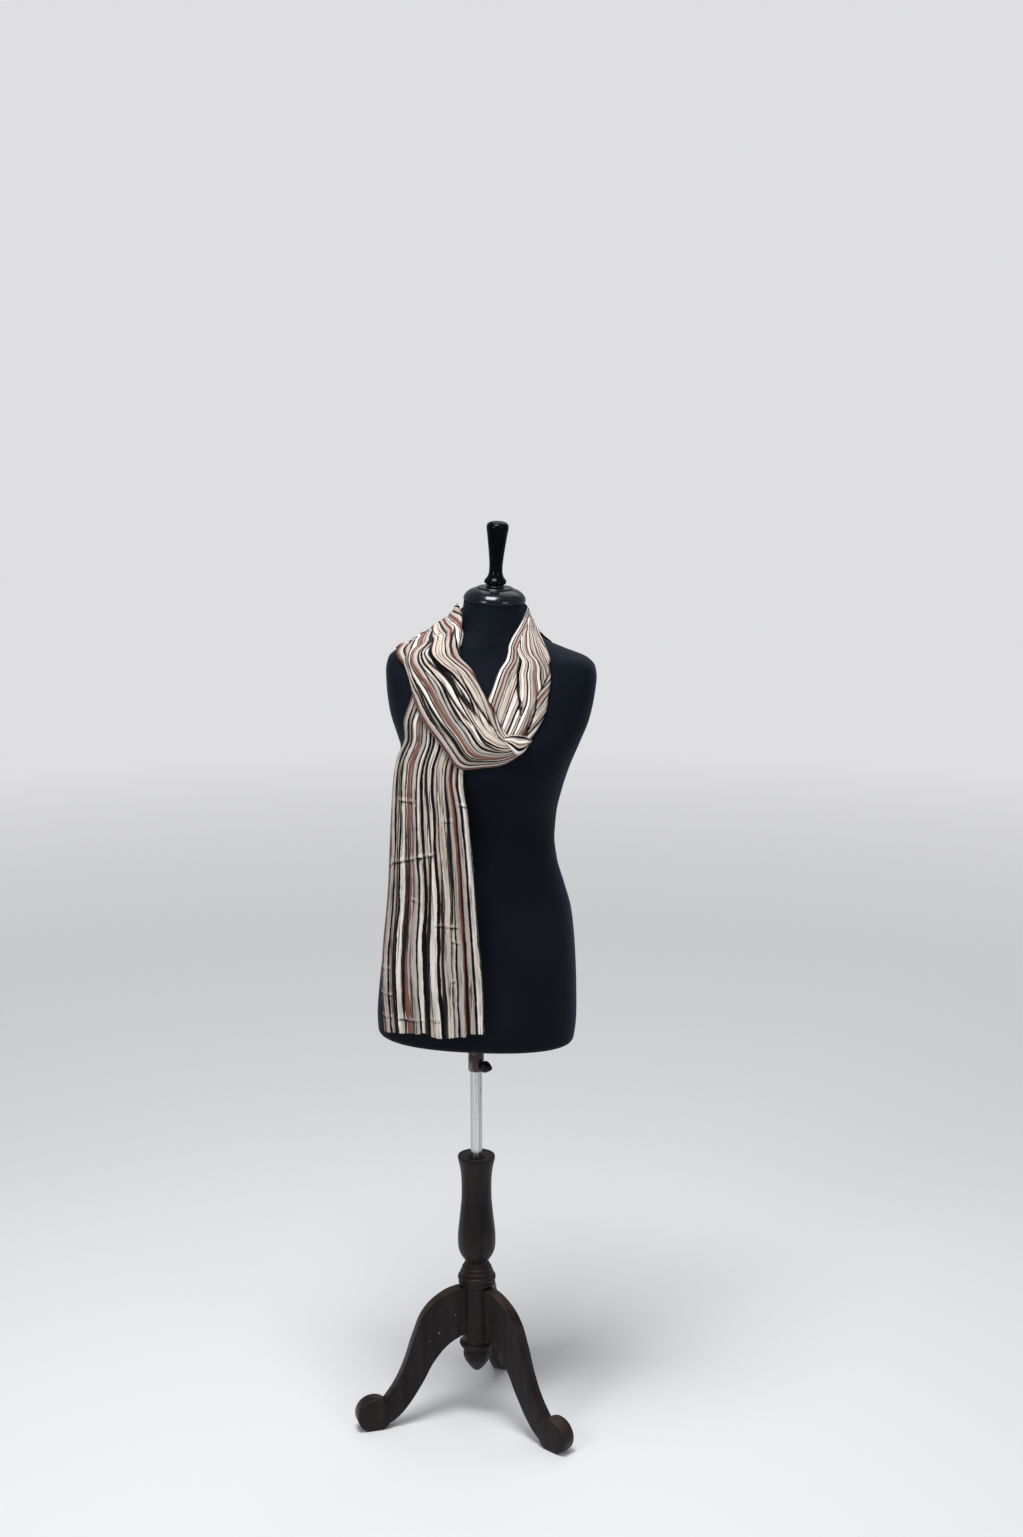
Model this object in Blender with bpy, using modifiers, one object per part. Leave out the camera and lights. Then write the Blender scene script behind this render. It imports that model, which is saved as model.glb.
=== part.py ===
"""Chiffon stole wound round a limbless dress form on a turned wooden tripod stand.

Metres, +Z up, and the front faces -Y. The floor is Z = 0, and the origin is the
middle of the whole model's box on the floor, a little off the pole's axis.

The form, its neck cap and the stole are drawn in the form's own frame, which
stands on the hem and leans a little sideways. A place on the form is an angle
round it and a height above its hem. The angle is 0 at the right side, -90 at the
front, -180 at the left side, -270 at the back and -360 at the right side again.
"""

import math
from collections import namedtuple

import bmesh
import bpy
from mathutils import Matrix, Vector
from mathutils.bvhtree import BVHTree

# Place of the pole's axis in the model's box
POLE_X = 0.0065
POLE_Y = -0.0296

# Clearance that touching pieces keep
GAP = 0.0003

# Stand
COLUMN_TOP = 0.5205
COLUMN_FOOT = 0.2640
SOCKET_FLOOR = 0.4200
SOCKET_RADIUS = 0.0112
HUB_RADIUS = 0.0215
HUB_FOOT = 0.1500
POLE_RADIUS = 0.0104
POLE_TOP = 1.1000
LEG_THICKNESS = 0.0220
LEG_ANGLES = {"left": -73.5, "right": 46.5, "back": 166.5}
FOOT_DISTANCE = 0.2000
FOOT_RADIUS = 0.0330
FOOT_THICKNESS = 0.0300
FOOT_HEIGHT = 0.0295
WOOD_COLOUR = (0.060, 0.040, 0.036)
STEEL_COLOUR = (0.78, 0.79, 0.80)

# Collar and clamp knob under the form
COLLAR_FOOT = 0.6850
COLLAR_TOP = 0.7640
COLLAR_RADIUS = 0.0143
COLLAR_BORE = 0.0112
RECESS_RADIUS = 0.0147
KNOB_HEIGHT = 0.6960
KNOB_ANGLE = 50.0
KNOB_STEM_RADIUS = 0.0022
KNOB_HOLE_RADIUS = 0.0026
COLLAR_COLOUR = (0.16, 0.12, 0.10)
KNOB_COLOUR = (0.012, 0.012, 0.013)

# Dress form
HEM_HEIGHT = 0.7520
LEAN = math.radians(2.5)
FORM_BORE_RADIUS = 0.0114
FORM_BORE_TOP = 1.2750
NECK_TOP = 0.7982
JERSEY_COLOUR = (0.010, 0.012, 0.018)
LACQUER_COLOUR = (0.008, 0.009, 0.012)

# Stole
CLOTH_WALL = 0.0018
CLOTH_CLEARANCE = 0.0008
CLOTH_COLOUR = (0.62, 0.52, 0.44)
COLUMNS_PER_PLEAT = 4
PLEAT_SHAPE = (0.0, 0.55, 1.0, 0.55)
FOLD_DRIFT = 0.012
EDGE_SAMPLES = 36
REST_ROUNDS = 8
LAYER_REACH = 0.018
EDGE_MARGIN = 0.0012
SPOTS_DOWN = 12
SPOTS_ACROSS = 5
SPOTS_BEYOND = 1

Turn = namedtuple("Turn", "radius height")
Section = namedtuple("Section", "height half_width front back squareness")
Row = namedtuple("Row", "outer inner fold_depth crown")
Stretch = namedtuple("Stretch", "surface rows pleats steps salt start way")

FORM_SECTIONS = [
    Section(0.000, 0.1690, 0.0960, 0.1040, 2.30),
    Section(0.003, 0.1740, 0.1010, 0.1090, 2.30),
    Section(0.010, 0.1775, 0.1045, 0.1130, 2.30),
    Section(0.045, 0.1800, 0.1070, 0.1200, 2.30),
    Section(0.110, 0.1770, 0.1080, 0.1220, 2.30),
    Section(0.160, 0.1730, 0.1070, 0.1170, 2.30),
    Section(0.205, 0.1680, 0.1050, 0.1080, 2.20),
    Section(0.250, 0.1605, 0.1010, 0.0980, 2.20),
    Section(0.295, 0.1460, 0.0960, 0.0890, 2.10),
    Section(0.340, 0.1310, 0.0910, 0.0830, 2.10),
    Section(0.385, 0.1245, 0.0900, 0.0810, 2.10),
    Section(0.425, 0.1260, 0.0980, 0.0830, 2.10),
    Section(0.470, 0.1340, 0.1130, 0.0870, 2.15),
    Section(0.513, 0.1455, 0.1240, 0.0910, 2.20),
    Section(0.556, 0.1610, 0.1220, 0.0950, 2.30),
    Section(0.600, 0.1760, 0.1080, 0.0980, 2.40),
    Section(0.643, 0.1830, 0.0920, 0.0980, 2.50),
    Section(0.672, 0.1850, 0.0790, 0.0940, 2.60),
    Section(0.690, 0.1820, 0.0710, 0.0890, 2.60),
    Section(0.703, 0.1700, 0.0660, 0.0840, 2.50),
    Section(0.716, 0.1350, 0.0620, 0.0780, 2.30),
    Section(0.732, 0.0950, 0.0590, 0.0690, 2.10),
    Section(0.752, 0.0670, 0.0560, 0.0600, 2.00),
    Section(0.775, 0.0560, 0.0540, 0.0550, 2.00),
    Section(NECK_TOP, 0.0535, 0.0530, 0.0530, 2.00),
]
FORM_RINGS_BETWEEN = {0.556: 1, 0.703: 1, 0.716: 1}
FORM_SIDES = 32

# The surface that the front tail hangs on: the bust, then straight down past the waist
FRONT_HANG = [
    Section(0.000, 0.1870, 0.1260, 0.1200, 2.30),
    Section(0.100, 0.1880, 0.1270, 0.1200, 2.30),
    Section(0.200, 0.1850, 0.1280, 0.1200, 2.30),
    Section(0.300, 0.1810, 0.1290, 0.1200, 2.30),
    Section(0.400, 0.1780, 0.1290, 0.1200, 2.30),
    Section(0.470, 0.1740, 0.1270, 0.1200, 2.30),
    Section(0.520, 0.1680, 0.1250, 0.1000, 2.30),
]
# The surface that the back tail hangs on: the shoulder blade, then straight down
BACK_HANG = [
    Section(0.200, 0.1780, 0.1200, 0.1180, 2.40),
    Section(0.350, 0.1780, 0.1200, 0.1080, 2.40),
    Section(0.450, 0.1780, 0.1200, 0.1020, 2.40),
    Section(0.520, 0.1780, 0.1220, 0.0990, 2.40),
]

NECK_CAP_PROFILE = [
    Turn(0.0000, 0.8315), Turn(0.0125, 0.8315), Turn(0.0152, 0.8290), Turn(0.0160, 0.8245),
    Turn(0.0300, 0.8240), Turn(0.0314, 0.8228), Turn(0.0320, 0.8210), Turn(0.0400, 0.8188),
    Turn(0.0475, 0.8145), Turn(0.0525, 0.8090), Turn(0.0545, 0.8035), Turn(0.0538, 0.8000),
    Turn(0.0520, 0.7985), Turn(0.0000, 0.7985),
]
NECK_FINIAL_PROFILE = [
    Turn(0.0000, 0.9387), Turn(0.0090, 0.9380), Turn(0.0160, 0.9360), Turn(0.0190, 0.9325),
    Turn(0.0193, 0.9280), Turn(0.0178, 0.9163), Turn(0.0150, 0.8950), Turn(0.0126, 0.8740),
    Turn(0.0115, 0.8587), Turn(0.0120, 0.8520), Turn(0.0138, 0.8460), Turn(0.0178, 0.8405),
    Turn(0.0192, 0.8365), Turn(0.0186, 0.8330), Turn(0.0170, 0.8318), Turn(0.0000, 0.8318),
]
COLUMN_PROFILE = [
    Turn(0.0000, SOCKET_FLOOR), Turn(SOCKET_RADIUS, SOCKET_FLOOR), Turn(SOCKET_RADIUS, COLUMN_TOP),
    Turn(0.0150, COLUMN_TOP), Turn(0.0158, 0.5180), Turn(0.0305, 0.5185), Turn(0.0330, 0.5200),
    Turn(0.0341, 0.5170), Turn(0.0308, 0.5017), Turn(0.0282, 0.4860), Turn(0.0268, 0.4600),
    Turn(0.0269, 0.4385), Turn(0.0281, 0.4226), Turn(0.0311, 0.3908), Turn(0.0330, 0.3730),
    Turn(0.0337, 0.3560), Turn(0.0334, 0.3431), Turn(0.0320, 0.3345), Turn(0.0290, 0.3262),
    Turn(0.0248, 0.3185), Turn(0.0232, 0.3130), Turn(0.0262, 0.3085), Turn(0.0266, 0.3035),
    Turn(0.0256, 0.3005), Turn(0.0288, 0.2975), Turn(0.0293, 0.2935), Turn(0.0280, 0.2905),
    Turn(0.0322, 0.2875), Turn(0.0337, 0.2820), Turn(0.0322, 0.2755), Turn(0.0298, 0.2735),
    Turn(0.0302, 0.2690), Turn(0.0285, 0.2655), Turn(0.0250, COLUMN_FOOT), Turn(0.0000, COLUMN_FOOT),
]
DROP_FINIAL_PROFILE = [
    Turn(0.0000, 0.1497), Turn(0.0270, 0.1497), Turn(0.0290, 0.1465), Turn(0.0280, 0.1425),
    Turn(0.0215, 0.1400), Turn(0.0205, 0.1375), Turn(0.0225, 0.1330), Turn(0.0237, 0.1250),
    Turn(0.0222, 0.1165), Turn(0.0170, 0.1050), Turn(0.0090, 0.0950), Turn(0.0032, 0.0900),
    Turn(0.0000, 0.0890),
]
KNOB_PROFILE = [
    Turn(0.0000, 0.0370), Turn(0.0030, 0.0362), Turn(0.0052, 0.0335), Turn(0.0080, 0.0290),
    Turn(0.0105, 0.0240), Turn(0.0110, 0.0210), Turn(0.0098, 0.0180), Turn(0.0060, 0.0160),
    Turn(KNOB_STEM_RADIUS, 0.0158), Turn(KNOB_STEM_RADIUS, 0.0109), Turn(0.0000, 0.0109),
]

# Edges of a leg board, as distance from the pole's axis and height
LEG_TOP_EDGE = [(0.0150, 0.2632), (0.0400, 0.2625), (0.0700, 0.2510), (0.1010, 0.2240),
                (0.1230, 0.1760), (0.1390, 0.1280), (0.1580, 0.0870), (0.1860, 0.0480)]
LEG_LOW_EDGE = [(0.1860, 0.0035), (0.1620, 0.0150), (0.1420, 0.0330), (0.1090, 0.0800),
                (0.0830, 0.1250), (0.0530, 0.1560), (0.0150, 0.1720)]


# Tables and small sums

def smooth_value(places, values, place):
    """Read a curve through the table's points, without overshoot."""
    last = len(places) - 1
    if place <= places[0]:
        return values[0]
    if place >= places[last]:
        return values[last]
    low = max(index for index in range(last) if places[index] <= place)
    width = places[low + 1] - places[low]
    part = (place - places[low]) / width
    starts = [table_slope(places, values, index) for index in (low, low + 1)]
    cube = part * part * part
    square = part * part
    return (
        (2 * cube - 3 * square + 1) * values[low]
        + (cube - 2 * square + part) * width * starts[0]
        + (3 * square - 2 * cube) * values[low + 1]
        + (cube - square) * width * starts[1]
    )


def table_slope(places, values, index):
    """Slope of the curve at a point of its table, flat at a turning point."""
    if index == 0 or index == len(places) - 1:
        other = 1 if index == 0 else index - 1
        return (values[other] - values[index]) / (places[other] - places[index])
    before = (values[index] - values[index - 1]) / (places[index] - places[index - 1])
    after = (values[index + 1] - values[index]) / (places[index + 1] - places[index])
    if before * after <= 0:
        return 0.0
    return 2 * before * after / (before + after)


def section_at(sections, height):
    """Section of a surface at any height between its table's rows."""
    heights = [section.height for section in sections]
    columns = [[section[column] for section in sections] for column in range(1, 5)]
    return Section(height, *(smooth_value(heights, column, height) for column in columns))


def signed_power(value, power):
    return math.copysign(abs(value) ** power, value)


def surface_point(sections, angle, height):
    """Point of a surface at an angle round it, in degrees, and a height."""
    section = section_at(sections, height)
    turn = math.radians(angle)
    across = signed_power(math.cos(turn), 2 / section.squareness)
    deep = signed_power(math.sin(turn), 2 / section.squareness)
    depth = section.front if deep < 0 else section.back
    return Vector((section.half_width * across, depth * deep, height))


def surface_normal(sections, angle, height):
    """Outward direction of a surface, from its slopes round and up it."""
    turn_step = 1.0
    rise_step = 0.003
    around = surface_point(sections, angle + turn_step, height)
    around -= surface_point(sections, angle - turn_step, height)
    upward = surface_point(sections, angle, height + rise_step)
    upward -= surface_point(sections, angle, height - rise_step)
    return around.cross(upward).normalized()


def front(across, height, sections=FORM_SECTIONS):
    """Angle and height of a place on the front, from its distance right of the middle."""
    section = section_at(sections, height)
    share = max(-1.0, min(1.0, across / section.half_width))
    return -math.degrees(math.acos(signed_power(share, section.squareness / 2))), height


def back(across, height, sections=FORM_SECTIONS):
    """Angle and height of a place on the back, from its distance right of the middle."""
    angle, height = front(across, height, sections)
    return -360 - angle, height


def uneven(number, salt):
    """A fixed number from 0 to 1 that looks random, for folds of unlike size."""
    value = math.sin(number * 12.9898 + salt * 78.233) * 43758.5453
    return value - math.floor(value)


# Scene

def clear_scene():
    for item in list(bpy.data.objects):
        bpy.data.objects.remove(item, do_unlink=True)


def new_collection(name):
    collection = bpy.data.collections.new(name)
    bpy.context.scene.collection.children.link(collection)
    return collection


def new_material(name, colour, roughness, metallic=0.0):
    material = bpy.data.materials.new(name)
    material.use_nodes = True
    shader = material.node_tree.nodes["Principled BSDF"]
    shader.inputs["Base Color"].default_value = (*colour, 1.0)
    shader.inputs["Roughness"].default_value = roughness
    shader.inputs["Metallic"].default_value = metallic
    return material


def new_empty(name, collection, location, parent=None):
    empty = bpy.data.objects.new(name, None)
    empty.location = location
    empty.parent = parent
    collection.objects.link(empty)
    return empty


def place_mesh(name, mesh, collection, material=None, parent=None):
    piece = bpy.data.objects.new(name, mesh)
    piece.parent = parent
    if material:
        mesh.materials.append(material)
    collection.objects.link(piece)
    return piece


def round_shading(mesh):
    mesh.shade_smooth()
    mesh.set_sharp_from_angle(angle=math.radians(35))


def bmesh_to_mesh(name, shape):
    mesh = bpy.data.meshes.new(name)
    shape.to_mesh(mesh)
    shape.free()
    round_shading(mesh)
    return mesh


# Turned, bored and cut shapes

def turned_piece(name, profile, sides, collection, material, parent):
    """Turn a profile, listed from the top down its outer side, round the Z axis."""
    mesh = bpy.data.meshes.new(name)
    points = [(turn.radius, 0, turn.height) for turn in profile]
    edges = [(index, index + 1) for index in range(len(points) - 1)]
    closed = profile[0].radius > 0
    if closed:
        edges.append((len(points) - 1, 0))
    mesh.from_pydata(points, edges, [])
    piece = place_mesh(name, mesh, collection, material, parent)
    screw = piece.modifiers.new("Turn", "SCREW")
    screw.steps = sides
    screw.render_steps = sides
    screw.use_merge_vertices = True
    screw.merge_threshold = 0.00001
    screw.use_smooth_shade = True
    return piece


def cylinder_mesh(name, radius, bottom, top, sides):
    """Upright cylinder between two heights."""
    shape = bmesh.new()
    bmesh.ops.create_cone(shape, cap_ends=True, segments=sides, radius1=radius,
                          radius2=radius, depth=top - bottom)
    bmesh.ops.translate(shape, vec=(0, 0, (top + bottom) / 2), verts=shape.verts)
    return bmesh_to_mesh(name, shape)


def new_cutter(name, mesh, collection, parent):
    cutter = place_mesh(name, mesh, collection, parent=parent)
    cutter.hide_render = True
    cutter.display_type = "WIRE"
    return cutter


def add_boolean(piece, other, operation):
    modifier = piece.modifiers.new(operation.title(), "BOOLEAN")
    modifier.operation = operation
    modifier.solver = "EXACT"
    modifier.object = other


# Stand

def leg_board_mesh(name):
    """Flat S-shaped board in the XZ plane, from a curve through its two edges."""
    outline = bpy.data.curves.new(name + "_outline", "CURVE")
    outline.dimensions = "2D"
    outline.fill_mode = "BOTH"
    outline.extrude = LEG_THICKNESS / 2
    outline.resolution_u = 3
    spline = outline.splines.new("BEZIER")
    points = LEG_TOP_EDGE + LEG_LOW_EDGE
    corners = (0, len(LEG_TOP_EDGE) - 1, len(LEG_TOP_EDGE), len(points) - 1)
    spline.bezier_points.add(len(points) - 1)
    for index, place in enumerate(points):
        point = spline.bezier_points[index]
        point.co = (*place, 0)
        point.handle_left_type = "AUTO"
        point.handle_right_type = "AUTO"
        if index in corners:
            point.handle_left_type = "VECTOR"
            point.handle_right_type = "VECTOR"
    spline.use_cyclic_u = True
    drawn = bpy.data.objects.new(name + "_outline", outline)
    bpy.context.scene.collection.objects.link(drawn)
    graph = bpy.context.evaluated_depsgraph_get()
    mesh = bpy.data.meshes.new_from_object(drawn.evaluated_get(graph))
    bpy.data.objects.remove(drawn, do_unlink=True)
    mesh.name = name
    mesh.transform(Matrix.Rotation(math.radians(90), 4, "X"))
    shape = bmesh.new()
    shape.from_mesh(mesh)
    bmesh.ops.remove_doubles(shape, verts=shape.verts, dist=0.00001)
    bmesh.ops.recalc_face_normals(shape, faces=shape.faces)
    shape.to_mesh(mesh)
    shape.free()
    round_shading(mesh)
    return mesh


def foot_disc_mesh():
    """Round disc across the end of a leg, with rounded rims."""
    shape = bmesh.new()
    bmesh.ops.create_cone(shape, cap_ends=True, segments=24, radius1=FOOT_RADIUS,
                          radius2=FOOT_RADIUS, depth=FOOT_THICKNESS)
    rims = [edge for edge in shape.edges if abs(edge.verts[0].co.z - edge.verts[1].co.z) < GAP]
    bmesh.ops.bevel(shape, geom=rims, offset=0.002, segments=2, profile=0.5,
                    affect="EDGES", material=-1)
    lay_down = Matrix.Rotation(math.radians(90), 4, "X")
    bmesh.ops.transform(shape, matrix=lay_down, verts=shape.verts)
    bmesh.ops.translate(shape, vec=(FOOT_DISTANCE, 0, FOOT_HEIGHT), verts=shape.verts)
    return bmesh_to_mesh("foot_disc", shape)


def floor_block_mesh():
    """Block under the floor, which shaves a foot flat."""
    shape = bmesh.new()
    bmesh.ops.create_cube(shape, size=1.0)
    bmesh.ops.translate(shape, vec=(0, 0, -0.5), verts=shape.verts)
    return bmesh_to_mesh("floor_block", shape)


def build_legs(parts, cutters, stand):
    """Three boards, each joined to its foot disc, fitted to the hub and cut at the floor."""
    hub_sides = 32
    hub_cutter = new_cutter("hub_clearance", cylinder_mesh(
        "hub_clearance", HUB_RADIUS + GAP, HUB_FOOT - 0.02, COLUMN_FOOT + 0.02, hub_sides),
        cutters, stand)
    floor_cutter = new_cutter("floor_block", floor_block_mesh(), cutters, stand)
    for side, angle in LEG_ANGLES.items():
        turn = math.radians(angle - 90)
        wood = new_material("leg_wood_" + side, WOOD_COLOUR, 0.45)
        leg = place_mesh("leg_" + side, leg_board_mesh("leg_" + side), parts, wood, stand)
        disc = new_cutter("foot_disc_" + side, foot_disc_mesh(), cutters, stand)
        leg.rotation_euler = (0, 0, turn)
        disc.rotation_euler = (0, 0, turn)
        add_boolean(leg, disc, "UNION")
        add_boolean(leg, hub_cutter, "DIFFERENCE")
        add_boolean(leg, floor_cutter, "DIFFERENCE")


def build_stand(parts, cutters, stand):
    turned_piece("column", COLUMN_PROFILE, 20, parts,
                 new_material("column_wood", WOOD_COLOUR, 0.45), stand)
    hub = cylinder_mesh("hub_post", HUB_RADIUS, HUB_FOOT, COLUMN_FOOT - GAP, 32)
    place_mesh("hub_post", hub, parts, new_material("hub_wood", WOOD_COLOUR, 0.45), stand)
    turned_piece("drop_finial", DROP_FINIAL_PROFILE, 20, parts,
                 new_material("drop_wood", WOOD_COLOUR, 0.45), stand)
    build_legs(parts, cutters, stand)
    pole = cylinder_mesh("pole", POLE_RADIUS, SOCKET_FLOOR + GAP, POLE_TOP, 24)
    place_mesh("pole", pole, parts, new_material("bright_steel", STEEL_COLOUR, 0.25, 1.0), stand)


def build_collar(parts, cutters, stand):
    """Sleeve round the pole with a cross hole, and the clamp knob that screws into it."""
    profile = [Turn(COLLAR_BORE, COLLAR_FOOT), Turn(COLLAR_BORE, COLLAR_TOP),
               Turn(COLLAR_RADIUS, COLLAR_TOP), Turn(COLLAR_RADIUS, COLLAR_FOOT)]
    collar = turned_piece("collar", profile, 24, parts,
                          new_material("bronzed_metal", COLLAR_COLOUR, 0.4, 0.8), stand)
    outward = Matrix.Rotation(math.radians(KNOB_ANGLE - 90), 4, "Z")
    outward = Matrix.Translation((0, 0, KNOB_HEIGHT)) @ outward
    outward = outward @ Matrix.Rotation(math.radians(90), 4, "Y")
    hole = cylinder_mesh("knob_hole", KNOB_HOLE_RADIUS, 0.004, 0.022, 16)
    hole.transform(outward)
    add_boolean(collar, new_cutter("knob_hole", hole, cutters, stand), "DIFFERENCE")
    knob = turned_piece("clamp_knob", KNOB_PROFILE, 18, parts,
                        new_material("black_plastic", KNOB_COLOUR, 0.35), stand)
    knob.matrix_local = outward


# Dress form

def form_heights():
    """Heights of the form's rings: the table's, with more where the shoulders turn."""
    heights = []
    for low, high in zip(FORM_SECTIONS, FORM_SECTIONS[1:]):
        parts = FORM_RINGS_BETWEEN.get(low.height, 0) + 1
        heights += [low.height + (high.height - low.height) * part / parts for part in range(parts)]
    return heights + [FORM_SECTIONS[-1].height]


def form_mesh():
    """Loft through the form's sections, closed under the hem and on top of the neck."""
    shape = bmesh.new()
    rings = []
    for height in form_heights():
        angles = [360 * side / FORM_SIDES for side in range(FORM_SIDES)]
        rings.append([shape.verts.new(surface_point(FORM_SECTIONS, angle, height)) for angle in angles])
    for lower, upper in zip(rings, rings[1:]):
        for side in range(FORM_SIDES):
            following = (side + 1) % FORM_SIDES
            shape.faces.new((lower[side], lower[following], upper[following], upper[side]))
    shape.faces.new(list(reversed(rings[0])))
    shape.faces.new(rings[-1])
    bmesh.ops.recalc_face_normals(shape, faces=shape.faces)
    return bmesh_to_mesh("dress_form", shape)


def build_form(parts, cutters, stand, lean):
    """Padded form, bored for the pole, with its neck cap and turned finial."""
    mesh = form_mesh()
    jersey = new_material("black_jersey", JERSEY_COLOUR, 0.85)
    form = place_mesh("dress_form", mesh, parts, jersey, lean)
    bore = cylinder_mesh("pole_bore", FORM_BORE_RADIUS, COLLAR_FOOT, FORM_BORE_TOP, 24)
    recess = cylinder_mesh("collar_recess", RECESS_RADIUS, COLLAR_FOOT, COLLAR_TOP + GAP, 24)
    add_boolean(form, new_cutter("pole_bore", bore, cutters, stand), "DIFFERENCE")
    add_boolean(form, new_cutter("collar_recess", recess, cutters, stand), "DIFFERENCE")
    turned_piece("neck_cap", NECK_CAP_PROFILE, 24, parts,
                 new_material("cap_lacquer", LACQUER_COLOUR, 0.15), lean)
    turned_piece("neck_finial", NECK_FINIAL_PROFILE, 20, parts,
                 new_material("finial_lacquer", LACQUER_COLOUR, 0.15), lean)
    return BVHTree.FromPolygons([vert.co for vert in mesh.vertices],
                                [tuple(face.vertices) for face in mesh.polygons])


# Stole

def blended_row(rows, share):
    """Row of a stretch at a share of the way along it."""
    places = [index / (len(rows) - 1) for index in range(len(rows))]

    def along(values):
        return smooth_value(places, values, share)

    return Row(
        tuple(along([row.outer[part] for row in rows]) for part in (0, 1)),
        tuple(along([row.inner[part] for row in rows]) for part in (0, 1)),
        *(along([row[column] for row in rows]) for column in (2, 3)),
    )


def even_places(sections, outer, inner, shares):
    """Places across a row, from its outer to its inner edge, spaced by true length."""
    steps = [step / EDGE_SAMPLES for step in range(EDGE_SAMPLES + 1)]
    angles = [outer[0] + (inner[0] - outer[0]) * step for step in steps]
    heights = [outer[1] + (inner[1] - outer[1]) * step for step in steps]
    points = [surface_point(sections, angle, height) for angle, height in zip(angles, heights)]
    lengths = [0.0]
    for before, after in zip(points, points[1:]):
        lengths.append(lengths[-1] + (after - before).length)
    places = []
    for share in shares:
        target = min(max(share, 0.0), 1.0) * lengths[-1]
        low = max(index for index in range(EDGE_SAMPLES) if lengths[index] <= target)
        part = (target - lengths[low]) / (lengths[low + 1] - lengths[low])
        places.append((angles[low] + (angles[low + 1] - angles[low]) * part,
                       heights[low] + (heights[low + 1] - heights[low]) * part))
    return places


def pleat_shares(pleats, salt):
    """Shares across a row for each column of its pleats, which are of unlike width."""
    shares = [0.0]
    for pleat in range(pleats):
        start = shares[-1]
        width = 0.7 + 0.6 * uneven(pleat, salt)
        shares += [start + width * (column + 1) / COLUMNS_PER_PLEAT for column in range(COLUMNS_PER_PLEAT)]
    return [share / shares[-1] for share in shares]


def fold_height(column, along, salt):
    """Share of the fold depth at a column, changing slowly along each pleat."""
    pleat = column // COLUMNS_PER_PLEAT
    height = PLEAT_SHAPE[column % COLUMNS_PER_PLEAT]
    size = 0.6 + 0.4 * uneven(pleat, salt + 3)
    turns = along * (0.6 + uneven(pleat, salt + 5)) + uneven(pleat, salt + 7)
    return height * size * (1 + 0.25 * math.sin(math.tau * turns))


def stretch_grid(stretch):
    """Points on the surface, outward directions and wanted lifts of a stretch's wall."""
    shares = pleat_shares(stretch.pleats, stretch.salt)
    points, normals, lifts = [], [], []
    for step in range(stretch.steps + 1):
        row = blended_row(stretch.rows, step / stretch.steps)
        along = stretch.start + stretch.way * step / stretch.steps
        moved = [share + FOLD_DRIFT * math.sin(math.tau * (along * 1.3 + share * 0.5))
                 * math.sin(math.pi * share) for share in shares]
        places = even_places(stretch.surface, row.outer, row.inner, moved)
        points.append([surface_point(stretch.surface, *place) for place in places])
        normals.append([surface_normal(stretch.surface, *place) for place in places])
        lifts.append([row.crown * math.sin(math.pi * share)
                      + row.fold_depth * fold_height(column, along, stretch.salt)
                      for column, share in enumerate(shares)])
    return points, normals, lifts


def room_above(tree, point, outward):
    """How far a point lies above a surface along a direction, negative where it lies under it."""
    _, _, _, distance = tree.ray_cast(point - outward * LAYER_REACH, outward, 2 * LAYER_REACH)
    return LAYER_REACH if distance is None else LAYER_REACH - distance


def spot_on_cell(near, near_next, far, far_next, down, across):
    """Spot on the two triangles of a grid's cell, split from near to far_next."""
    if down > across:
        return near + (far - near) * down + (far_next - far) * across
    return near + (near_next - near) * across + (far_next - near_next) * down


def spot_by_cell(corners, outwards, down, across):
    """Spot on a cell, or level with its rim where the shares lie beyond it, and its direction."""
    held = (min(max(down, 0.0), 1.0), min(max(across, 0.0), 1.0))
    outward = spot_on_cell(*outwards, *held).normalized()
    on_rim = spot_on_cell(*corners, *held)
    beyond = spot_on_cell(*corners, down, across) - on_rim
    return on_rim + beyond - outward * beyond.dot(outward), outward


def raise_clear(points, normals, lifts, underlays):
    """Raise a wall's points until its facets clear what lies under them, with soft slopes."""
    rows, columns = len(lifts), len(lifts[0])
    extra = [[CLOTH_CLEARANCE] * columns for _ in range(rows)]
    spots = [(down / SPOTS_DOWN, across / SPOTS_ACROSS)
             for down in range(-SPOTS_BEYOND, SPOTS_DOWN + SPOTS_BEYOND + 1)
             for across in range(-SPOTS_BEYOND, SPOTS_ACROSS + SPOTS_BEYOND + 1)]
    for _ in range(REST_ROUNDS):
        wall = [[points[i][j] + normals[i][j] * (lifts[i][j] + extra[i][j]) for j in range(columns)]
                for i in range(rows)]
        lacks = [[0.0] * columns for _ in range(rows)]
        for i in range(rows - 1):
            for j in range(columns - 1):
                corners = ((i, j), (i, j + 1), (i + 1, j), (i + 1, j + 1))
                places = [wall[row][column] for row, column in corners]
                outwards = [normals[row][column] for row, column in corners]
                tests = [spot_by_cell(places, outwards, down, across) for down, across in spots]
                rooms = [room_above(tree, *test) for tree in underlays for test in tests]
                lack = max(0.0, CLOTH_CLEARANCE - min(rooms))
                for row, column in corners:
                    lacks[row][column] = max(lacks[row][column], lack)
        for i in range(rows):
            for j in range(columns):
                extra[i][j] += lacks[i][j]
        extra = softened(extra)
    return [[lifts[i][j] + extra[i][j] for j in range(columns)] for i in range(rows)]


def softened(values):
    """Each value, or the mean of its neighbours' where that is more."""
    rows, columns = len(values), len(values[0])
    result = [list(row) for row in values]
    for i in range(rows):
        for j in range(columns):
            around = [values[min(max(i + down, 0), rows - 1)][min(max(j + across, 0), columns - 1)]
                      for down, across in ((-1, 0), (1, 0), (0, -1), (0, 1))]
            result[i][j] = max(values[i][j], sum(around) / 4)
    return result


def lifted_points(points, normals, lifts, thickness):
    return [[point + normal * (lift + thickness) for point, normal, lift in zip(*row)]
            for row in zip(points, normals, lifts)]


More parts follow.
